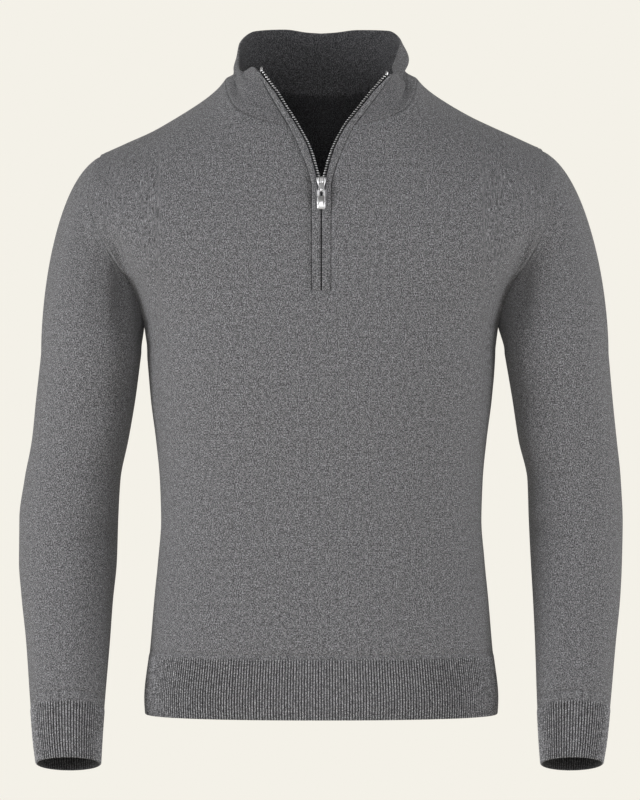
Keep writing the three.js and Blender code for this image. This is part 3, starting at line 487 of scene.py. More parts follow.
# The arm's ring: centre + half width * outward * cos(turn) + half depth * forward * sin(turn). Towards the
# body the upper arm's cloth hangs squarer: there cosine and sine are raised to 2 / square.
def armPoint(side, level, turn, offset=0.0):
    level, turn = np.broadcast_arrays(np.asarray(level, float), np.asarray(turn, float))
    outer, inner = armEdges["outer", side](level), armEdges["inner", side](level)
    tilt = np.radians(armTables["tilt"](level))
    square = mix(2.0, arm["square"], smoothStep(level, *arm["squareLevels"]) * (np.cos(turn) < 0))
    cos, sin = (signedPower(f, 2 / square) for f in (np.cos(turn), np.sin(turn)))
    across = (outer + inner) / 2 + ((outer - inner) / 2 + offset) * cos
    forward = (armTables["thick"](level) + offset) * sin
    depth = armTables["depth"](level) - forward * np.cos(tilt)
    return joined(side * across, depth, level + forward * np.sin(tilt))


# A sleeve: from each point of the armhole a cubic curve meets the ring at the top of the arm, square to it
# there and flush with the panel at the seam; below, the rings follow one another.
def makeSleeve(name, side):
    fine = upperRows * body["fine"]
    low = body["lowerRows"]
    column = front["ends"][side]
    k = np.arange(fine + 1)

    def roundArmhole(key):
        return np.concatenate([front[key][column, low + k[:-1]], back[key][column, low + k[:0:-1]]])

    start, under, normal = (roundArmhole(key) for key in ("outer", "inner", "normal"))
    run = np.concatenate([k[:-1], k[:0:-1]]) / fine
    facing = np.where(np.arange(2 * fine) < fine, 1, -1)
    turn = facing * (1 - run) * np.pi
    end = armPoint(side, arm["top"], turn)
    reach = end - start
    flush = smoothStep(run, *arm["flush"])[:, None]
    leave = reach - normal * flush * np.sum(normal * reach, -1, keepdims=True)
    arrive = np.array([0, 0, -1]) * np.linalg.norm(reach, axis=-1, keepdims=True) * arm["arrive"]
    t = np.concatenate([np.linspace(0, arm["seamShare"], arm["seamRows"])[:-1],
                        np.linspace(arm["seamShare"], 1, arm["headRows"])[:-1]])[None, :, None]
    head = hermite(t, start[:, None], end[:, None], leave[:, None], arrive[:, None])
    levels = mix(arm["top"], arm["cuffTop"], np.linspace(0, 1, arm["lowerRows"] + 1))
    points = np.concatenate([head, armPoint(side, levels[None, :], turn[:, None])], 1)
    normals = gridNormals(points, points - points.mean(0, keepdims=True), closed=True)
    level = points[..., 2]
    scale = arm["turnScale"]
    lift = creases(np.degrees(turn)[:, None] * scale, level, sleeveCreases[side], scale)
    fromSeam = runLength(points, 1)
    creaseFade = smoothStep(level, arm["cuffTop"], arm["cuffTop"] + arm["creaseFade"])
    lift = lift * smoothStep(fromSeam, *arm["creaseFrom"]) * creaseFade
    sewn = smoothStep(run, *arm["seamFrom"]) * mix(1, arm["seamLeft"], smoothStep(run, *arm["seamTop"]))
    lift = lift + sewn[:, None] * seamLines(fromSeam, arm["seamLines"])
    outer = points + normals * lift[..., None]
    inner = outer - normals * arm["wall"]
    outer[:, 0], inner[:, 0] = start, under
    around = runLength(np.concatenate([outer, outer[:1]]), 0)
    around = around - around[-1:] / 2
    along = np.concatenate([fromSeam, fromSeam[:1]])
    along = along - along[:, -1:] + along[:, -1:].mean()
    return makeWall(name, outer, inner, joined(around, -along), closed=True, shadedInside=True)


sleeves = {-1: makeSleeve("sleeveKnitLeft", -1), 1: makeSleeve("sleeveKnitRight", 1)}
print("sleeves made")

rib = {
    "hemPitch": 2.8, "cuffPitch": 3.0, "points": 8, "ridge": 0.6, "groove": 1.0, "power": 0.7, "wall": 2,
    "edge": 1.4, "cuffStart": 8, "hemStart": 2.5, "fade": 4, "rows": 22, "edgeRows": 6,
}


# A rib's height over its own run of 0 to 1: a round ridge between two narrow grooves.
def ribHeight(run):
    return -rib["groove"] + (rib["ridge"] + rib["groove"]) * np.abs(np.sin(np.pi * run)) ** rib["power"]


# Levels from a seam down to a rolled edge: even steps, then a quarter circle's steps.
def edgeLevels(top, bottom):
    radius = rib["edge"]
    turn = np.linspace(np.pi / 2, 0, rib["edgeRows"])[1:]
    return np.concatenate([np.linspace(top, bottom + radius, rib["rows"] + 1),
                           bottom + radius - radius * np.cos(turn)])


# A ribbed wall: rib heights over column and level are handed to the two surfaces, and the edge is rolled.
def makeRibs(name, kind, column, count, levels, surface, closed):
    start = rib[kind + "Start"]
    fromTop = np.abs(levels - levels[0])[None, :]
    fade = smoothStep(fromTop, start, start + rib["fade"])
    outer, inner = surface(ribHeight((column / rib["points"]) % 1)[:, None] * fade)
    outer, inner = drawnIn(outer, inner, roundEdge(levels - levels[-1], rib["edge"])[None, :, None])
    u = (np.arange(count + 1) / rib["points"] * rib[kind + "Pitch"])[:, None]
    return makeWall(name, outer, inner, joined(u, fromTop), closed=closed, shadedInside=True)


def makeCuff(name, side):
    middle = (arm["cuffTop"] + arm["cuffBottom"]) / 2
    wide = (armEdges["outer", side](middle) - armEdges["inner", side](middle)) / 2
    ribs = int(round(np.pi * (wide + armTables["thick"](middle)) / rib["cuffPitch"]))
    count = ribs * rib["points"]
    column = np.arange(count)
    levels = edgeLevels(arm["cuffTop"], arm["cuffBottom"])
    turn = (column / count * 2 * np.pi)[:, None]

    def surface(height):
        return (armPoint(side, levels[None, :], turn, height),
                armPoint(side, levels[None, :], turn, -rib["wall"] + 0 * height))

    return makeRibs(name, "cuff", column, count, levels, surface, True)


cuffs = {-1: makeCuff("cuffRibLeft", -1), 1: makeCuff("cuffRibRight", 1)}


# The hem on the body's section: x = half * |cos| ^ (2 / power), y = depth * sin ^ (2 / power).
def makeHem(name, face):
    top, bottom = body["hemTop"], body["hemBottom"]
    middle = (top + bottom) / 2
    power = body["power"]

    def ring(turn, level):
        x = halfAt(level) * signedPower(-np.cos(turn), 2 / power)
        y = face * depthAt[face](level) * np.clip(np.sin(turn), 0, 1) ** (2 / power)
        return joined(x, y, level)

    halfRound = np.pi * (halfAt(middle) + depthAt[face](middle)) / 2
    count = int(round(halfRound / rib["hemPitch"])) * rib["points"]
    place = evenly(lambda run: ring(run * np.pi, middle), count, 4000)
    turn = np.arctan2(np.abs(place[:, 1] / depthAt[face](middle)) ** (power / 2),
                      signedPower(-place[:, 0] / halfAt(middle), power / 2))
    turn[0], turn[-1] = 0, np.pi
    levels = edgeLevels(top, bottom)
    points = ring(turn[:, None], levels[None, :])
    half, depth = halfAt(levels)[None, :], depthAt[face](levels)[None, :]
    outward = unit(joined(signedPower(points[..., 0] / half, power - 1) / half,
                          face * np.abs(points[..., 1] / depth) ** (power - 1) / depth, 0))
    outward[0], outward[-1] = (-1, 0, 0), (1, 0, 0)

    def surface(height):
        return points + outward * height[..., None], points - outward * rib["wall"]

    return makeRibs(name, "hem", np.arange(count + 1), count, levels, surface, False)


hems = {-1: makeHem("hemRibFront", -1), 1: makeHem("hemRibBack", 1)}
print("ribs made")

# Collar
collar = {
    "station": [0, 1, 2, 3, 4, 5, 6, 7, 7.6, 8],
    "left": [68.5, 73.5, 82, 88.5, 89.8, 88, 72, 38, 14.5, 0],
    "right": [75, 80.5, 81.5, 74, 79.5, 84.5, 73, 38, 14.5, 0],
    "depth": [-80, -67, -47, -24, 6, 36, 60, 76, 80, 80.5],
    "levelLeft": [3, 9.5, 6.5, 11, 25, 41, 56.5, 59.5, 56.5, 55.6],
    "levelRight": [-1, 4.5, 0, 11.5, 28, 44, 57, 59, 56.5, 55.6],
    "waist": [0, 1, 4, 6.5, 7, 4, 1, 0, 0, 0],
    "swellLeft": [0, 0, -1, -2.2, -2.2, 0, 2, 3, 3, 3],
    "swellRight": [0, 0.5, 1.5, 4.5, 6, 5, 3, 3, 3, 3],
    "wall": 3, "rows": 36, "lastShare": 0.975, "edgeShares": [0.983, 0.99, 0.996, 1], "edge": 1.6,
    "swellAt": 0.72, "swellWide": 0.22, "waistAt": 0.3, "waistWide": 0.17, "seamShare": 0.12,
    "creaseFrom": 10, "stationLength": 20, "zipSink": 1.0, "zipWidth": 1.7, "fillet": 7, "filletLift": 0.3,
    "filletBegin": (0, 0.5), "filletEnd": (2.9, 3.5),
}
# Creases over the place along the collar in stations and up it in millimetres.
collarCreases = [
    (-3.1, 32, -0.9, 41, 1, 1.7, -2.4), (-3.0, 24, -0.6, 32, 1, 5, 0.9), (-2.6, 6, -0.6, 20, 3, 7, 1.0),
    (-1.9, 52, -1.1, 40, 2, 2, -1.0), (3.9, 6, 2.4, 20, 2, 2.6, -1.8), (2.9, 30, 1.6, 20, -3, 6, 1.2),
    (2.2, 44, 1.5, 30, 2, 2.2, -1.2), (5.5, 40, 6.8, 28, 4, 9, 0.9), (-5.2, 44, -6.9, 30, 4, 9, 0.8),
    (1.3, 6, 3.2, 22, 0, 11, -2.0), (-1.3, 6, -3.2, 20, 0, 10, -1.6),
]


# The collar stands on the neck seam: base + (edge - base) * v, and outwards by
# swell * exp(-((v - 0.72) / 0.22) ^ 2) - waist * exp(-((v - 0.3) / 0.17) ^ 2).
def makeCollar():
    fine, rows = body["fine"], body["neckRows"]
    first = body["lowerRows"] + neckRow * fine
    k = np.arange(first, body["lowerRows"] + upperRows * fine + 1)
    strip = slice(back["columns"][-1] + 1, back["columns"][1])

    def roundNeck(key):
        left, right = ([panel[key][panel["columns"][side], k] for panel in (front, back)]
                       for side in (-1, 1))
        behind = back[key][strip, first]
        return np.concatenate([left[0], left[1][-2::-1], behind, right[1][:-1], right[0][::-1]])

    seam, under = roundNeck("outer"), roundNeck("inner")
    count = len(seam)
    place = np.arange(count)
    fromEnd = np.minimum(place, count - 1 - place) / fine
    behind = (count - 1) / 2 / fine - rows
    station = np.where(fromEnd <= rows, 4 * fromEnd / rows, 4 + 4 * (fromEnd - rows) / behind)
    side = np.where(place < count / 2, -1, 1)

    def table(key):
        return curveThrough(collar["station"], collar[key])(station)

    def bySide(leftKey, rightKey):
        return np.where(side < 0, table(leftKey), table(rightKey))

    edge = joined(side * bySide("left", "right"), table("depth"), bySide("levelLeft", "levelRight"))
    away = unit(edge * [1, 1, 0])
    v = np.concatenate([np.linspace(0, collar["lastShare"], collar["rows"]), collar["edgeShares"]])
    swell = bySide("swellLeft", "swellRight")[:, None] * bell(v - collar["swellAt"], collar["swellWide"])
    drawn = table("waist")[:, None] * bell(v - collar["waistAt"], collar["waistWide"])
    off = (swell - drawn) * smoothStep(v, 0, collar["seamShare"])
    points = mix(seam[:, None], edge[:, None], v[None, :, None]) + away[:, None] * off[..., None]
    normals = gridNormals(points, points * [1, 1, 0])
    tall = np.linalg.norm(edge - seam, axis=-1)[:, None]
    height = tall * v
    scale = collar["stationLength"]
    lift = creases((side * station)[:, None] * scale + 0 * height, height, collarCreases, scale)
    lift = lift * smoothStep(height, 0, collar["creaseFrom"])
    fromZip = np.linalg.norm(points - np.where(side[:, None, None] < 0, points[:1], points[-1:]), axis=-1)
    lift = lift - collar["zipSink"] * bell(fromZip, collar["zipWidth"])
    sides = smoothStep(station, *collar["filletBegin"]) * (1 - smoothStep(station, *collar["filletEnd"]))
    rise = height / collar["fillet"]
    lift = lift + collar["fillet"] * collar["filletLift"] * (sides[:, None] * rise * np.exp(1 - rise))
    outer = points + normals * lift[..., None]
    inner = outer - normals * collar["wall"]
    inner[:, 0] = under
    outer, inner = drawnIn(outer, inner, roundEdge(tall * (1 - v), collar["edge"])[..., None])
    along = runLength(outer, 0)
    along = along - along[count // 2]
    obj = makeWall("collarKnit", outer, inner, joined(along, height), shadedInside=True, crisp="first")
    return {"obj": obj, "outer": outer, "inner": inner, "ends": {-1: 0, 1: count - 1}}


stand = makeCollar()
print("collar made")

# Zip bands, tapes and teeth
zipParts = {
    "bandWall": 2.6, "seamRoom": 0.35, "bandColumns": 12, "swell": 0.9, "swellPower": 0.6, "edgeRound": 1.3,
    "rimShare": 0.25, "collarEdge": (-1.5, 1.0), "tapeOut": 1.8, "tapeIn": 3.6, "tapeInShare": 0.8,
    "tapeMiddle": 0.25, "tapeLeast": 0.4, "tapeWall": 0.8, "tapeBehind": 2.3, "tapeColumns": 7,
    "pitch": 2.85, "toothLong": 2.3, "toothWide": 1.45, "toothThick": 2.0, "toothSides": 8,
    "toothRound": 0.5,
    "toothPlaces": [-0.35, 0.15, 0.75, 1.0], "toothSizes": [0.75, 0.9, 1.0, 0.62],
    "closedSink": 1.4, "closedTop": -122, "closedOver": 4,
}


# Rows of one side of the zip, from its foot to the collar's edge: seam, the seam's back and zip edge.
def zipRows(side):
    column, end = front["columns"][side], stand["ends"][side]
    rows = body["lowerRows"] + np.arange(body["slotRow"] * body["fine"], neckRow * body["fine"] + 1)
    seam, under = front["outer"][column, rows], front["inner"][column, rows]
    edge = clothPoint(side * zipEdgeAt(seam[:, 2]), seam[:, 2], -1)
    upper, upperUnder = stand["outer"][end, 2::2], stand["inner"][end, 2::2]
    reach = zipSeamAt(upper[:, 2]) - zipEdgeAt(upper[:, 2])
    upperEdge = upper + joined(-side * reach, *zipParts["collarEdge"])
    return [np.concatenate(parts) for parts in ((seam, upper), (under, upperUnder), (edge, upperEdge))]


def makeZipSide(side, ending):
    s = zipParts
    seam, under, edge = zipRows(side)
    inward = unit(edge - seam)
    along = unit(np.gradient((seam + edge) / 2, axis=0))
    normal = unit(np.cross(along, inward)) * -side
    normal = np.where((np.sum(normal * (seam - under), -1) < 0)[:, None], -normal, normal)
    v = ((1 - np.cos(np.linspace(0, np.pi, s["bandColumns"] + 1))) / 2)[:, None]
    wide = np.linalg.norm(edge - seam, axis=-1)
    across = mix(seam + inward * s["seamRoom"], edge, v[..., None])
    lift = (s["swell"] * np.sin(np.pi * v) ** s["swellPower"])[..., None]
    share = mix(s["rimShare"], 1, roundEdge(np.minimum(v, 1 - v) * wide, s["edgeRound"]))
    outer, inner = across + normal * lift, across - normal * (s["bandWall"] - lift)
    outer, inner = drawnIn(outer, inner, share[..., None])
    length = runLength(seam[None], 1)
    band = makeWall("zipBandKnit" + ending, outer, inner, joined(v * wide, length))
    behind = edge - normal * s["tapeBehind"]
    share = np.linspace(0, 1, s["tapeColumns"])[:, None]
    room = np.clip(np.abs(edge[:, 0]) - s["tapeMiddle"], s["tapeLeast"], s["tapeOut"])
    hidden = np.minimum(s["tapeIn"], wide * s["tapeInShare"])
    tapeEdge = behind + inward * room[:, None]
    tapeOuter = mix(behind - inward * hidden[:, None], tapeEdge, share[..., None])
    tape = makeWall("zipTapeWoven" + ending, tapeOuter, tapeOuter - normal * s["tapeWall"],
                    joined(share * (hidden + room), length))
    return {"band": band, "tape": tape, "path": tapeEdge - normal * s["tapeWall"] / 2, "inward": inward,
            "normal": normal, "along": along}


# Quads of a grid of points (column, row), joined round where told so.
def gridQuads(columns, rows, roundColumns, roundRows):
    cells = columns - (not roundColumns), rows - (not roundRows)
    i, j = np.indices(cells)
    nextI, nextJ = (i + 1) % columns, (j + 1) % rows
    quads = joined(i * rows + j, nextI * rows + j, nextI * rows + nextJ, i * rows + nextJ)
    return quads.reshape(-1, 4).tolist()


# A tooth: an eight-sided ring carried through four sections, narrow at the root and round at the head.
def toothShape(s):
    sides, sections = s["toothSides"], len(s["toothSizes"])
    turn = ringTurns(sides) + np.pi / sides
    place = np.array(s["toothPlaces"])[:, None] * s["toothLong"]
    size = np.array(s["toothSizes"])[:, None] / 2
    along = signedPower(np.cos(turn), s["toothRound"]) * size * s["toothWide"]
    thick = signedPower(np.sin(turn), s["toothRound"]) * size * s["toothThick"]
    last = sides * (sections - 1)
    ends = [list(range(sides)), list(range(last, last + sides))[::-1]]
    return joined(place, along, thick).reshape(-1, 3), gridQuads(sections, sides, False, True) + ends


# Turns a closed piece's faces outwards.
def outwards(obj):
    bm = bmesh.new()
    bm.from_mesh(obj.data)
    bmesh.ops.remove_doubles(bm, verts=bm.verts, dist=1e-6)
    bmesh.ops.recalc_face_normals(bm, faces=bm.faces)
    bm.to_mesh(obj.data)
    bm.free()
    return obj


# Teeth at even distances along a kept part of a side's path, each set in its own inward, along and normal
# directions. The shift is upwards, and the sink goes below the cloth.
def makeTeeth(name, zipSide, kept, shift=0, sink=0):
    pitch = zipParts["pitch"]
    inward, normal = zipSide["inward"][kept], zipSide["normal"][kept]
    path = zipSide["path"][kept] + [0, 0, shift] - normal * sink
    length = runLength(path[None], 1)[0]
    place = np.arange(pitch / 2, length[-1], pitch)

    def at(values):
        return joined(*(np.interp(place, length, column) for column in values.T))[:, None]

    ways = [unit(at(values)) for values in (inward, unit(np.gradient(path, axis=0)), normal)]
    shape, faces = toothShape(zipParts)
    points = at(path) + sum(shape[:, i:i + 1] * way for i, way in enumerate(ways))
    allFaces = [[v + n * len(shape) for v in face] for n in range(len(place)) for face in faces]
    return outwards(makeMesh(name, points.reshape(-1, 3), allFaces))


zipSides = {-1: makeZipSide(-1, "Left"), 1: makeZipSide(1, "Right")}
teeth = []
for side, ending in ((-1, "Left"), (1, "Right")):
    zipSide, closedTop = zipSides[side], zipParts["closedTop"]
    level = zipSide["path"][:, 2]
    teeth.append(makeTeeth("zipTeeth" + ending, zipSide, level > closedTop))
    teeth.append(makeTeeth("zipTeethClosed" + ending, zipSide, level <= closedTop + zipParts["closedOver"],
                           zipParts["pitch"] / 4 * side, zipParts["closedSink"]))
print("zip made")

# Slider and pull: sizes across, along the zip and out of the cloth, as in the part.
hardware = {
    "level": -116.8, "lift": 1.2, "length": 17, "thick": 2.4, "topHalf": 5.2, "footHalf": 3.1,
    "waist": (0.35, 0.95), "notch": 1.9, "notchWide": 0.3, "topDrop": 1.2, "topPower": 6, "rim": 0.55,
    "plateCells": (41, 49), "platePowers": (8, 12), "capCells": (37, 37),
    "capHalf": 3.6, "capLow": 1.2, "capHigh": 8.3, "capRise": 1.4, "capGroove": 0.8, "capSpread": 0.08,
    "capBow": 0.5, "capSink": 0.2, "capPowers": (5, 6), "archSink": 0.5, "archSquare": 0.35, "archTop": 0.5,
    "archRows": 41, "strapSides": 16, "strapAcross": 0.5, "strapOut": 0.7,
    "archWide": 2.2, "archLength": 10.2, "archRise": 3.6, "archStrap": 1.1, "archMiddle": -3.3,
    "pullHalf": 4.0, "pullLength": 21, "pullThick": 1.4, "bar": 1.3, "slotHalf": 2.0, "slotLength": 6.0,
    "round": 1.2, "slotRound": 1.5, "lean": 7, "barGap": 0.6, "bevel": 0.35, "slotBevel": 0.28,
    "bevelRun": (0.105, 1.5),
    "pullSides": 144, "slotRim": 1.4,
    "stopInward": 0.9, "stopDown": 0.6, "stopWide": 1.5, "stopLong": 2.2, "stopThin": 0.4, "stopSwell": 0.8,
    "stopCells": (13, 13), "stopPowers": (4, 4),
}
zipMiddle = clothPoint(0, hardware["level"], -1)
zipUp = unit(zipMiddle - clothPoint(0, hardware["level"] - hardware["length"], -1))
zipOut = np.cross([1, 0, 0], zipUp)
zipOrigin = zipMiddle + zipOut * hardware["lift"]


# Points given across, up the zip and out of the cloth, in the sweater's own frame.
def onZip(points):
    return zipOrigin + points[..., 0:1] * [1, 0, 0] + points[..., 1:2] * zipUp + points[..., 2:3] * zipOut


def squareGrid(columns, rows):
    return np.meshgrid(np.linspace(-1, 1, columns), np.linspace(-1, 1, rows), indexing="ij")


# A pillow's height over -1 to 1 both ways: (1 - |u| ^ p) ^ 0.5 * (1 - |v| ^ q) ^ 0.5.
def pillow(u, v, p, q):
    return np.sqrt(np.clip(1 - np.abs(u) ** p, 0, 1) * np.clip(1 - np.abs(v) ** q, 0, 1))


def zipBlock(name, x, y, z, under):
    return makeWall(name, onZip(joined(x, y, z)), onZip(joined(x, y, under)), joined(x, y))


# The slider's plate: half width runs from foot to top along a soft curve, and the top edge has a lobe on
# each side of the notch. The cap over it is a pillow with a groove in its middle.
def makeSlider(s):
    u, v = squareGrid(*s["plateCells"])
    share = (v + 1) / 2
    top = s["length"] / 2 - s["notch"] * bell(u, s["notchWide"]) - s["topDrop"] * u ** s["topPower"]
    x = u * mix(s["footHalf"], s["topHalf"], smoothStep(share, *s["waist"]))
    z = s["thick"] * mix(s["rim"], 1, pillow(u, v, *s["platePowers"]))
    plate = zipBlock("zipSliderPlate", x, mix(-s["length"] / 2, top, share), z, 0)
    u, v = squareGrid(*s["capCells"])
    x = u * s["capHalf"] * (1 + s["capSpread"] * v)
    y = mix(s["capLow"], s["capHigh"], (v + 1) / 2) - s["capBow"] * u ** 2
    rise = s["capRise"] - s["capGroove"] * bell(u, s["notchWide"])
    cap = zipBlock("zipSliderCap", x, y, s["thick"] - s["capSink"] + rise * pillow(u, v, *s["capPowers"]), 1)
    return [plate, cap, makeArch(s)]


# The arch over the pull's bar: an upright half loop of a rounded strap, its feet sunk into the plate.
def makeArch(s):
    reach, strap = (s["archLength"] - s["archStrap"]) / 2, s["archStrap"] / 2
    turn = np.linspace(0, np.pi, s["archRows"])
    y = s["archMiddle"] + reach * signedPower(np.cos(turn), s["archSquare"])
    z = s["thick"] - s["archSink"] + (s["archRise"] + s["archSink"] - strap) * np.sin(turn) ** s["archTop"]
    path = joined(0, y, z)
    away = unit(np.cross([1.0, 0, 0], np.gradient(path, axis=0)))
    around = ringTurns(s["strapSides"])
    across = s["archWide"] / 2 * signedPower(np.cos(around), s["strapAcross"])
    out = strap * signedPower(np.sin(around), s["strapOut"])
    points = path + across[:, None, None] * [1, 0, 0] + out[:, None, None] * away
    return closedTube("zipSliderArch", onZip(points))


# A tube from a grid of points (around, along), with flat ends.
def closedTube(name, points):
    around, along = points.shape[:2]
    ends = [list(np.arange(around) * along), list(np.arange(around)[::-1] * along + along - 1)]
    return outwards(makeMesh(name, points.reshape(-1, 3), gridQuads(around, along, True, False) + ends))


# How far a ray from the slot's middle runs to a rounded rectangle, found by halving its length.
def rayToBox(direction, centre, half, corner, farthest=60.0, halvings=40):
    near, far = np.zeros(len(direction)), np.full(len(direction), farthest)
    for _ in range(halvings):
        middle = (near + far) / 2
        q = np.abs(direction * middle[:, None] - centre) - (np.array(half) - corner)
        gap = np.linalg.norm(np.maximum(q, 0), axis=-1) + np.minimum(np.max(q, -1), 0) - corner
        near, far = np.where(gap < 0, middle, near), np.where(gap < 0, far, middle)
    return direction * near[:, None]


# The pull: a plate with rounded corners, bevelled inside and out round its slot.
def makePull(s):
    turn = ringTurns(s["pullSides"])
    direction = joined(np.cos(turn), np.sin(turn))
    slotMiddle = -(s["bar"] + s["slotLength"]) / 2
    plateMiddle = (s["bar"] - s["pullLength"]) / 2
    plateHalf = (s["pullHalf"], s["pullLength"] / 2)
    outline = rayToBox(direction, np.array([0, plateMiddle - slotMiddle]), plateHalf, s["round"])
    slot = rayToBox(direction, np.zeros(2), (s["slotHalf"], s["slotLength"] / 2), s["slotRound"])
    width = np.linalg.norm(outline - slot, axis=-1)
    # the section: a step inwards from the outline's rim, and a height in quarters of the thickness
    half = [(0, 1), s["bevelRun"], (s["bevel"], 2), (width - s["slotBevel"], 2), (width, s["slotRim"])]
    section = [(0, 0)] + [(step, -height) for step, height in half] + [(width, 0)] + half[::-1]
    rings = [joined(*(mix(outline, slot, (step / width)[:, None]) + [0, slotMiddle]).T,
                    height * s["pullThick"] / 4) for step, height in section]
    x, y, z = np.stack(rings, 1).transpose(2, 0, 1)
    lean = np.radians(s["lean"])
    bar = np.array([0, s["archMiddle"] - s["archLength"] / 2 + s["archStrap"] + s["bar"] / 2 + s["barGap"],
                    s["thick"] + (s["archRise"] - s["archStrap"]) / 2])
    turned = joined(x, y * np.cos(lean) - z * np.sin(lean), y * np.sin(lean) + z * np.cos(lean))
    quads = gridQuads(len(turn), len(section), True, True)
    return outwards(makeMesh("zipPullTab", onZip(bar + turned).reshape(-1, 3), quads))


# Top stops: a small rounded block clamped on each tape above the last tooth.
def makeStop(name, side, s):
    path, inward, normal, along = (zipSides[side][key][-1] for key in ("path", "inward", "normal", "along"))
    u, v = squareGrid(*s["stopCells"])
    flat = (path + inward * s["stopInward"] - along * s["stopDown"]
            + u[..., None] * s["stopWide"] * inward + v[..., None] * s["stopLong"] * along)
    raised = (s["stopThin"] + s["stopSwell"] * pillow(u, v, *s["stopPowers"]))[..., None] * normal
    return makeWall(name, flat + raised, flat - raised, joined(u, v))


sliderPieces = makeSlider(hardware)
pullTab = makePull(hardware)
stops = [makeStop("zipStopLeft", -1, hardware), makeStop("zipStopRight", 1, hardware)]
print("slider and pull made")


# Materials
def linear(code):
    parts = [int(code[i:i + 2], 16) / 255 for i in (1, 3, 5)]
    return tuple(c / 12.92 if c <= 0.04045 else ((c + 0.055) / 1.055) ** 2.4 for c in parts) + (1.0,)


# Adds a node with its settings, and its inputs as numbers or links.
def addNode(tree, kind, settings=None, inputs=None):
    made = tree.nodes.new(kind)
    for key, value in (settings or {}).items():
        setattr(made, key, value)
    for key, value in (inputs or {}).items():
        if isinstance(value, bpy.types.NodeSocket):
            tree.links.new(value, made.inputs[key])
        else:
            made.inputs[key].default_value = value
    return made


def newMaterial(name):
    material = bpy.data.materials.new(name)
    material.use_nodes = True
    material.node_tree.nodes.clear()
    return material, material.node_tree


def finishMaterial(tree, inputs):
    shader = addNode(tree, "ShaderNodeBsdfPrincipled", {}, inputs)
    addNode(tree, "ShaderNodeOutputMaterial", {}, {"Surface": shader.outputs[0]})


# The cloth's own coordinates in millimetres: UV by a scale, turned in its plane.
def clothPlace(tree, scale=(1000, 1000, 1000), turn=0.0):
    coords = addNode(tree, "ShaderNodeTexCoord").outputs["UV"]
    return addNode(tree, "ShaderNodeMapping", {}, {
        "Vector": coords, "Scale": scale, "Rotation": (0, 0, turn)}).outputs[0]


def noise(tree, place, scale, detail, roughness, dimensions="2D"):
    return addNode(tree, "ShaderNodeTexNoise", {"noise_dimensions": dimensions}, {
        "Vector": place, "Scale": scale, "Detail": detail, "Roughness": roughness}).outputs[0]


def mapRange(tree, value, low, high, toLow=0.0, toHigh=1.0, kind="SMOOTHSTEP"):
    return addNode(tree, "ShaderNodeMapRange", {"interpolation_type": kind}, {
        "Value": value, "From Min": low, "From Max": high, "To Min": toLow, "To Max": toHigh}).outputs[0]


def colourRamp(tree, value, *stops):
    ramp = addNode(tree, "ShaderNodeValToRGB", {}, {0: value})
    elements = ramp.color_ramp.elements
    elements[0].position, elements[1].position = stops[0][0], stops[-1][0]
    for position, _ in stops[1:-1]:
        elements.new(position)
    for element, (_, code) in zip(elements, stops):
        element.color = linear(code)
    return ramp.outputs[0]


def bump(tree, height, strength, distance, **normal):
    return addNode(tree, "ShaderNodeBump", {}, {
        "Strength": strength, "Distance": distance, "Height": height, **normal}).outputs[0]


# Heathered wool and cotton yarn in plain jersey. The eye gets a soft mid grey, flecked with lighter and
# darker fibres along the wales, small V stitches, and a pale fuzz that lights up where the cloth turns away.
jersey = {
    "dark": "#2f2f31", "mid": "#6b6b6e", "light": "#b0b0b4", "darkTo": 0.34, "middle": 0.5,
    "lightFrom": 0.66,
    "fleck": 1.15, "cloud": 4.5, "drawn": (1000, 760, 1000), "fleckShare": 0.86, "cloudShare": 0.14,
    "wale": 1.9, "course": 1.35, "legLean": 1.1, "loop": 0.5, "stitchBump": 0.35, "stitchDepth": 0.0005,
    "fuzz": 1.4, "fuzzBump": 0.5, "fuzzDepth": 0.0006, "roughness": 0.92, "specular": 0.2, "sheen": 0.25,
    # The rib keys brighten the rib's colour as painted light on its ridges and darken its grooves as painted
    # shade.
    "sheenRoughness": 0.45, "sheenTint": "#d8d8d8", "ribPaintedLight": (1.4, 1.4, 1.4, 1.0),
    "ribShade": (-0.1, 0.9, 0.0, 0.92), "ribPaintedShade": "#1b1b1c",
}


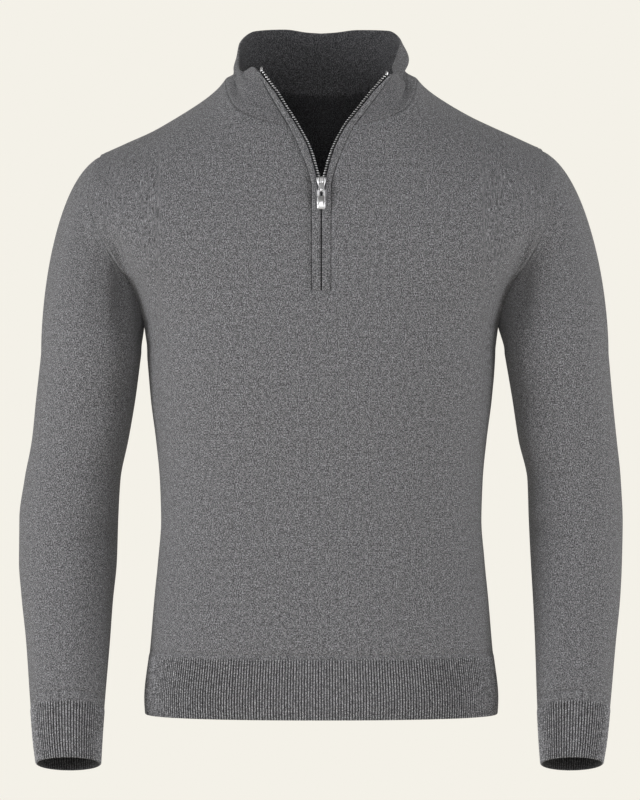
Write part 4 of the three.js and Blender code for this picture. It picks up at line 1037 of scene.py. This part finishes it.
def knitMaterial(name, s, ribPitch=None, ribStart=0.0):
    material, tree = newMaterial(name)
    cloth = clothPlace(tree)
    place = addNode(tree, "ShaderNodeSeparateXYZ", {}, {0: cloth})

    def maths(operation, a, b=0.0):
        return addNode(tree, "ShaderNodeMath", {"operation": operation}, {0: a, 1: b}).outputs[0]

    def blended(kind, share, a, b):
        settings = {"data_type": "RGBA", "blend_type": kind}
        return addNode(tree, "ShaderNodeMix", settings, {0: share, 6: a, 7: b}).outputs[2]

    # stitches: each wale's two legs lean towards its middle, one stitch to a course
    across, along = place.outputs[0], place.outputs[1]
    leg = maths("ABSOLUTE", maths("SUBTRACT", maths("FRACT", maths("DIVIDE", across, s["wale"])), 0.5))
    rowRun = maths("ADD", maths("DIVIDE", along, s["course"]), maths("MULTIPLY", leg, s["legLean"]))
    loop = maths("MULTIPLY", maths("SINE", maths("MULTIPLY", rowRun, 2 * np.pi)), s["loop"])
    stitch = maths("SUBTRACT", loop, maths("COSINE", maths("MULTIPLY", leg, 2 * np.pi)))
    # fibres: flecks drawn out along the wales, and soft clouds of uneven dye
    drawn = clothPlace(tree, s["drawn"])
    fleck = maths("MULTIPLY", noise(tree, drawn, 1 / s["fleck"], 3.0, 0.75), s["fleckShare"])
    cloud = maths("MULTIPLY", noise(tree, drawn, 1 / s["cloud"], 2.0, 0.6), s["cloudShare"])
    colour = colourRamp(tree, maths("ADD", fleck, cloud), (s["darkTo"], s["dark"]), (s["middle"], s["mid"]),
                        (s["lightFrom"], s["light"]))
    if ribPitch:  # painted shade in the grooves between ribs, and the rib's colour brightened as painted light on the ridges
        wave = maths("COSINE", maths("MULTIPLY", maths("DIVIDE", across, ribPitch), 2 * np.pi))
        begun = mapRange(tree, along, ribStart, ribStart + rib["fade"])
        shade = maths("MULTIPLY", mapRange(tree, wave, *s["ribShade"]), begun)
        lit = blended("MULTIPLY", begun, colour, s["ribPaintedLight"])
        colour = blended("MIX", shade, lit, linear(s["ribPaintedShade"]))
    stitches = bump(tree, stitch, s["stitchBump"], s["stitchDepth"])
    fuzz = noise(tree, cloth, s["fuzz"], 4.0, 0.7)
    knit = bump(tree, fuzz, s["fuzzBump"], s["fuzzDepth"], Normal=stitches)
    finishMaterial(tree, {
        "Base Color": colour, "Roughness": s["roughness"], "IOR": 1.5, "Specular IOR Level": s["specular"],
        "Sheen Weight": s["sheen"], "Sheen Roughness": s["sheenRoughness"],
        "Sheen Tint": linear(s["sheenTint"]), "Normal": knit})
    return material


jerseyKnit = knitMaterial("heatheredJerseyKnit", jersey)
hemKnit = knitMaterial("heatheredRibKnitHem", jersey, rib["hemPitch"], rib["hemStart"])
cuffKnit = knitMaterial("heatheredRibKnitCuff", jersey, rib["cuffPitch"], rib["cuffStart"])
# Darker greys for the inner faces of the collar and the ribs: painted shade for the dim inside of the
# garment.
reverseShade = dict(jersey, dark="#1b1b1d", mid="#464649", light="#7a7a7d")
collarReverseShade = knitMaterial("heatheredCollarReversePaintedShade", reverseShade)
# Darker still for the inner faces of the panels and the sleeves: painted shade deep inside the body.
insideShade = dict(jersey, dark="#161618", mid="#3a3a3d", light="#636366")
jerseyReverseShade = knitMaterial("heatheredJerseyReversePaintedShade", insideShade)
# The collar gets a slightly darker copy of the jersey: painted shade for the collar, whose front tilts up
# away from the lights.
collarShade = dict(jersey, dark="#2b2b2d", mid="#646467", light="#a4a4a8")
collarKnit = knitMaterial("heatheredJerseyCollarPaintedShade", collarShade)
hemReverseShade = knitMaterial("heatheredRibReverseHemPaintedShade", reverseShade, rib["hemPitch"], rib["hemStart"])
cuffReverseShade = knitMaterial("heatheredRibReverseCuffPaintedShade", reverseShade, rib["cuffPitch"], rib["cuffStart"])
paintedShadeOf = {jerseyKnit: jerseyReverseShade, collarKnit: collarReverseShade, hemKnit: hemReverseShade,
             cuffKnit: cuffReverseShade}


# Woven polyester tape: dark grey, faint twill, a dull gloss.
def tapeMaterial():
    material, tree = newMaterial("wovenPolyesterTape")
    twill = addNode(tree, "ShaderNodeTexWave", {}, {"Vector": clothPlace(tree, turn=0.7), "Scale": 0.6,
                                                   "Distortion": 0.4}).outputs["Fac"]
    finishMaterial(tree, {
        "Base Color": colourRamp(tree, twill, (0, "#19191b"), (1, "#333336")), "Roughness": 0.7,
        "Specular IOR Level": 0.35, "Normal": bump(tree, twill, 0.5, 0.0002)})
    return material


# Nickel plated zip metal, tumbled bright: cool silver, fine rub marks, slightly uneven gloss.
def nickelMaterial(name, roughness):
    material, tree = newMaterial(name)
    place = addNode(tree, "ShaderNodeTexCoord").outputs["Object"]
    rub = noise(tree, place, 900.0, 3.0, 0.5, "3D")
    finishMaterial(tree, {
        "Base Color": colourRamp(tree, rub, (0, "#b4b4b6"), (1, "#e2e2e4")), "Metallic": 1.0,
        "Roughness": mapRange(tree, rub, 0, 1, roughness * 0.7, roughness * 1.4, "LINEAR")})
    return material


wovenTape = tapeMaterial()
nickelTeeth = nickelMaterial("nickelPlatedTeeth", 0.3)
nickelSlider = nickelMaterial("nickelPlatedDieCastZinc", 0.34)

# Riding, slots, replaced nodes and the cloth's cut
pieces = [
    (front["obj"], jerseyKnit, "knit", ["front_panel"], (0.56, 0.62), 0.290),
    (back["obj"], jerseyKnit, "knit", ["back_panel"], (0.56, 0.62), 0.295),
    (sleeves[-1], jerseyKnit, "knit", ["sleeve_left"], (0.38, 0.60), 0.168),
    (sleeves[1], jerseyKnit, "knit", ["sleeve_right"], (0.38, 0.60), 0.170),
    (cuffs[-1], cuffKnit, "rib", ["cuff_left"], (0.225, 0.07), None),
    (cuffs[1], cuffKnit, "rib", ["cuff_right"], (0.225, 0.07), None),
    (hems[-1], hemKnit, "rib", ["hem_front"], (0.49, 0.072), None),
    (hems[1], hemKnit, "rib", ["hem_back"], (0.49, 0.072), None),
    (stand["obj"], collarKnit, "knit", ["collar"], (0.52, 0.06), 0.026),
    (zipSides[-1]["band"], jerseyKnit, "knit", ["zip_band_left"], (0.01, 0.245), 0.0024),
    (zipSides[1]["band"], jerseyKnit, "knit", ["zip_band_right"], (0.01, 0.245), 0.0024),
    (zipSides[-1]["tape"], wovenTape, "zip_tape", ["zip_tape_left"], (0.01, 0.25), 0.0014),
    (zipSides[1]["tape"], wovenTape, "zip_tape", ["zip_tape_right"], (0.01, 0.25), 0.0014),
]
for obj, material, slotName, nodes, flat, area in pieces:
    obj.data.materials.append(material)
    # Pieces with inner faces also take the darker copy: painted shade for the garment's inside.
    if any(face.material_index for face in obj.data.polygons):
        obj.data.materials.append(paintedShadeOf[material])
    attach(obj, "garment")
    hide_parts(*nodes)
for obj in teeth + stops + sliderPieces + [pullTab]:
    obj.data.materials.append(nickelSlider if obj in sliderPieces or obj is pullTab else nickelTeeth)
    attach(obj, "pull_tab" if obj is pullTab else "garment")
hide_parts("zip_slider")
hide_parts("zip_pull")
print("materials set")

# Studio: pale floor below the hem, soft light from the front left, pale surroundings
studio = {
    "floor": -1000, "radius": 2600, "worldTone": "#f4f1e8", "worldStrength": 1.0, "worldFar": 0.14,
    "wallFrom": 0.6, "wallTo": 0.93, "floorTone": "#efece4", "floorRoughness": 0.8,
    "lightsAimAt": (0, 0, -0.25),
    "lights": [("keyLight", 54, (-2.7, -1.4, -0.1), 1.0), ("fillLight", 34, (2.6, -1.05, 0.0), 1.1),
               ("topLight", 9, (-0.2, -0.6, 2.2), 1.2), ("frontLight", 11, (-0.1, -2.3, -0.05), 0.9),
               ("sideLight", 4, (2.6, 0.35, 0.3), 0.8)],
}


def makeStudio(s):
    turn = ringTurns(96)
    ring = joined(np.cos(turn) * s["radius"], np.sin(turn) * s["radius"], s["floor"])
    floor = makeMesh("studioFloor", ring, [range(len(ring))], smooth=False)
    material, tree = newMaterial("palePaintedFloor")
    finishMaterial(tree, {"Base Color": linear(s["floorTone"]), "Roughness": s["floorRoughness"]})
    floor.data.materials.append(material)
    world = bpy.data.worlds.new("paleStudio")
    world.use_nodes = True
    world.node_tree.nodes.clear()
    way = addNode(world.node_tree, "ShaderNodeTexCoord")
    rise = addNode(world.node_tree, "ShaderNodeSeparateXYZ", {}, {0: way.outputs["Generated"]})
    strength = mapRange(world.node_tree, rise.outputs[1], s["wallFrom"], s["wallTo"], s["worldFar"],
                        s["worldStrength"])
    sky = addNode(world.node_tree, "ShaderNodeBackground", {},
                  {"Color": linear(s["worldTone"]), "Strength": strength})
    addNode(world.node_tree, "ShaderNodeOutputWorld", {}, {"Surface": sky.outputs[0]})
    bpy.context.scene.world = world
    bpy.context.scene.view_settings.view_transform = "Standard"
    for name, power, place, size in s["lights"]:
        data = bpy.data.lights.new(name, "AREA")
        data.energy, data.size = power, size
        light = bpy.data.objects.new(name, data)
        light.location = place
        aim = Vector(s["lightsAimAt"]) - light.location
        light.rotation_euler = aim.to_track_quat("-Z", "Y").to_euler()
        bpy.context.collection.objects.link(light)


makeStudio(studio)
print("studio made")
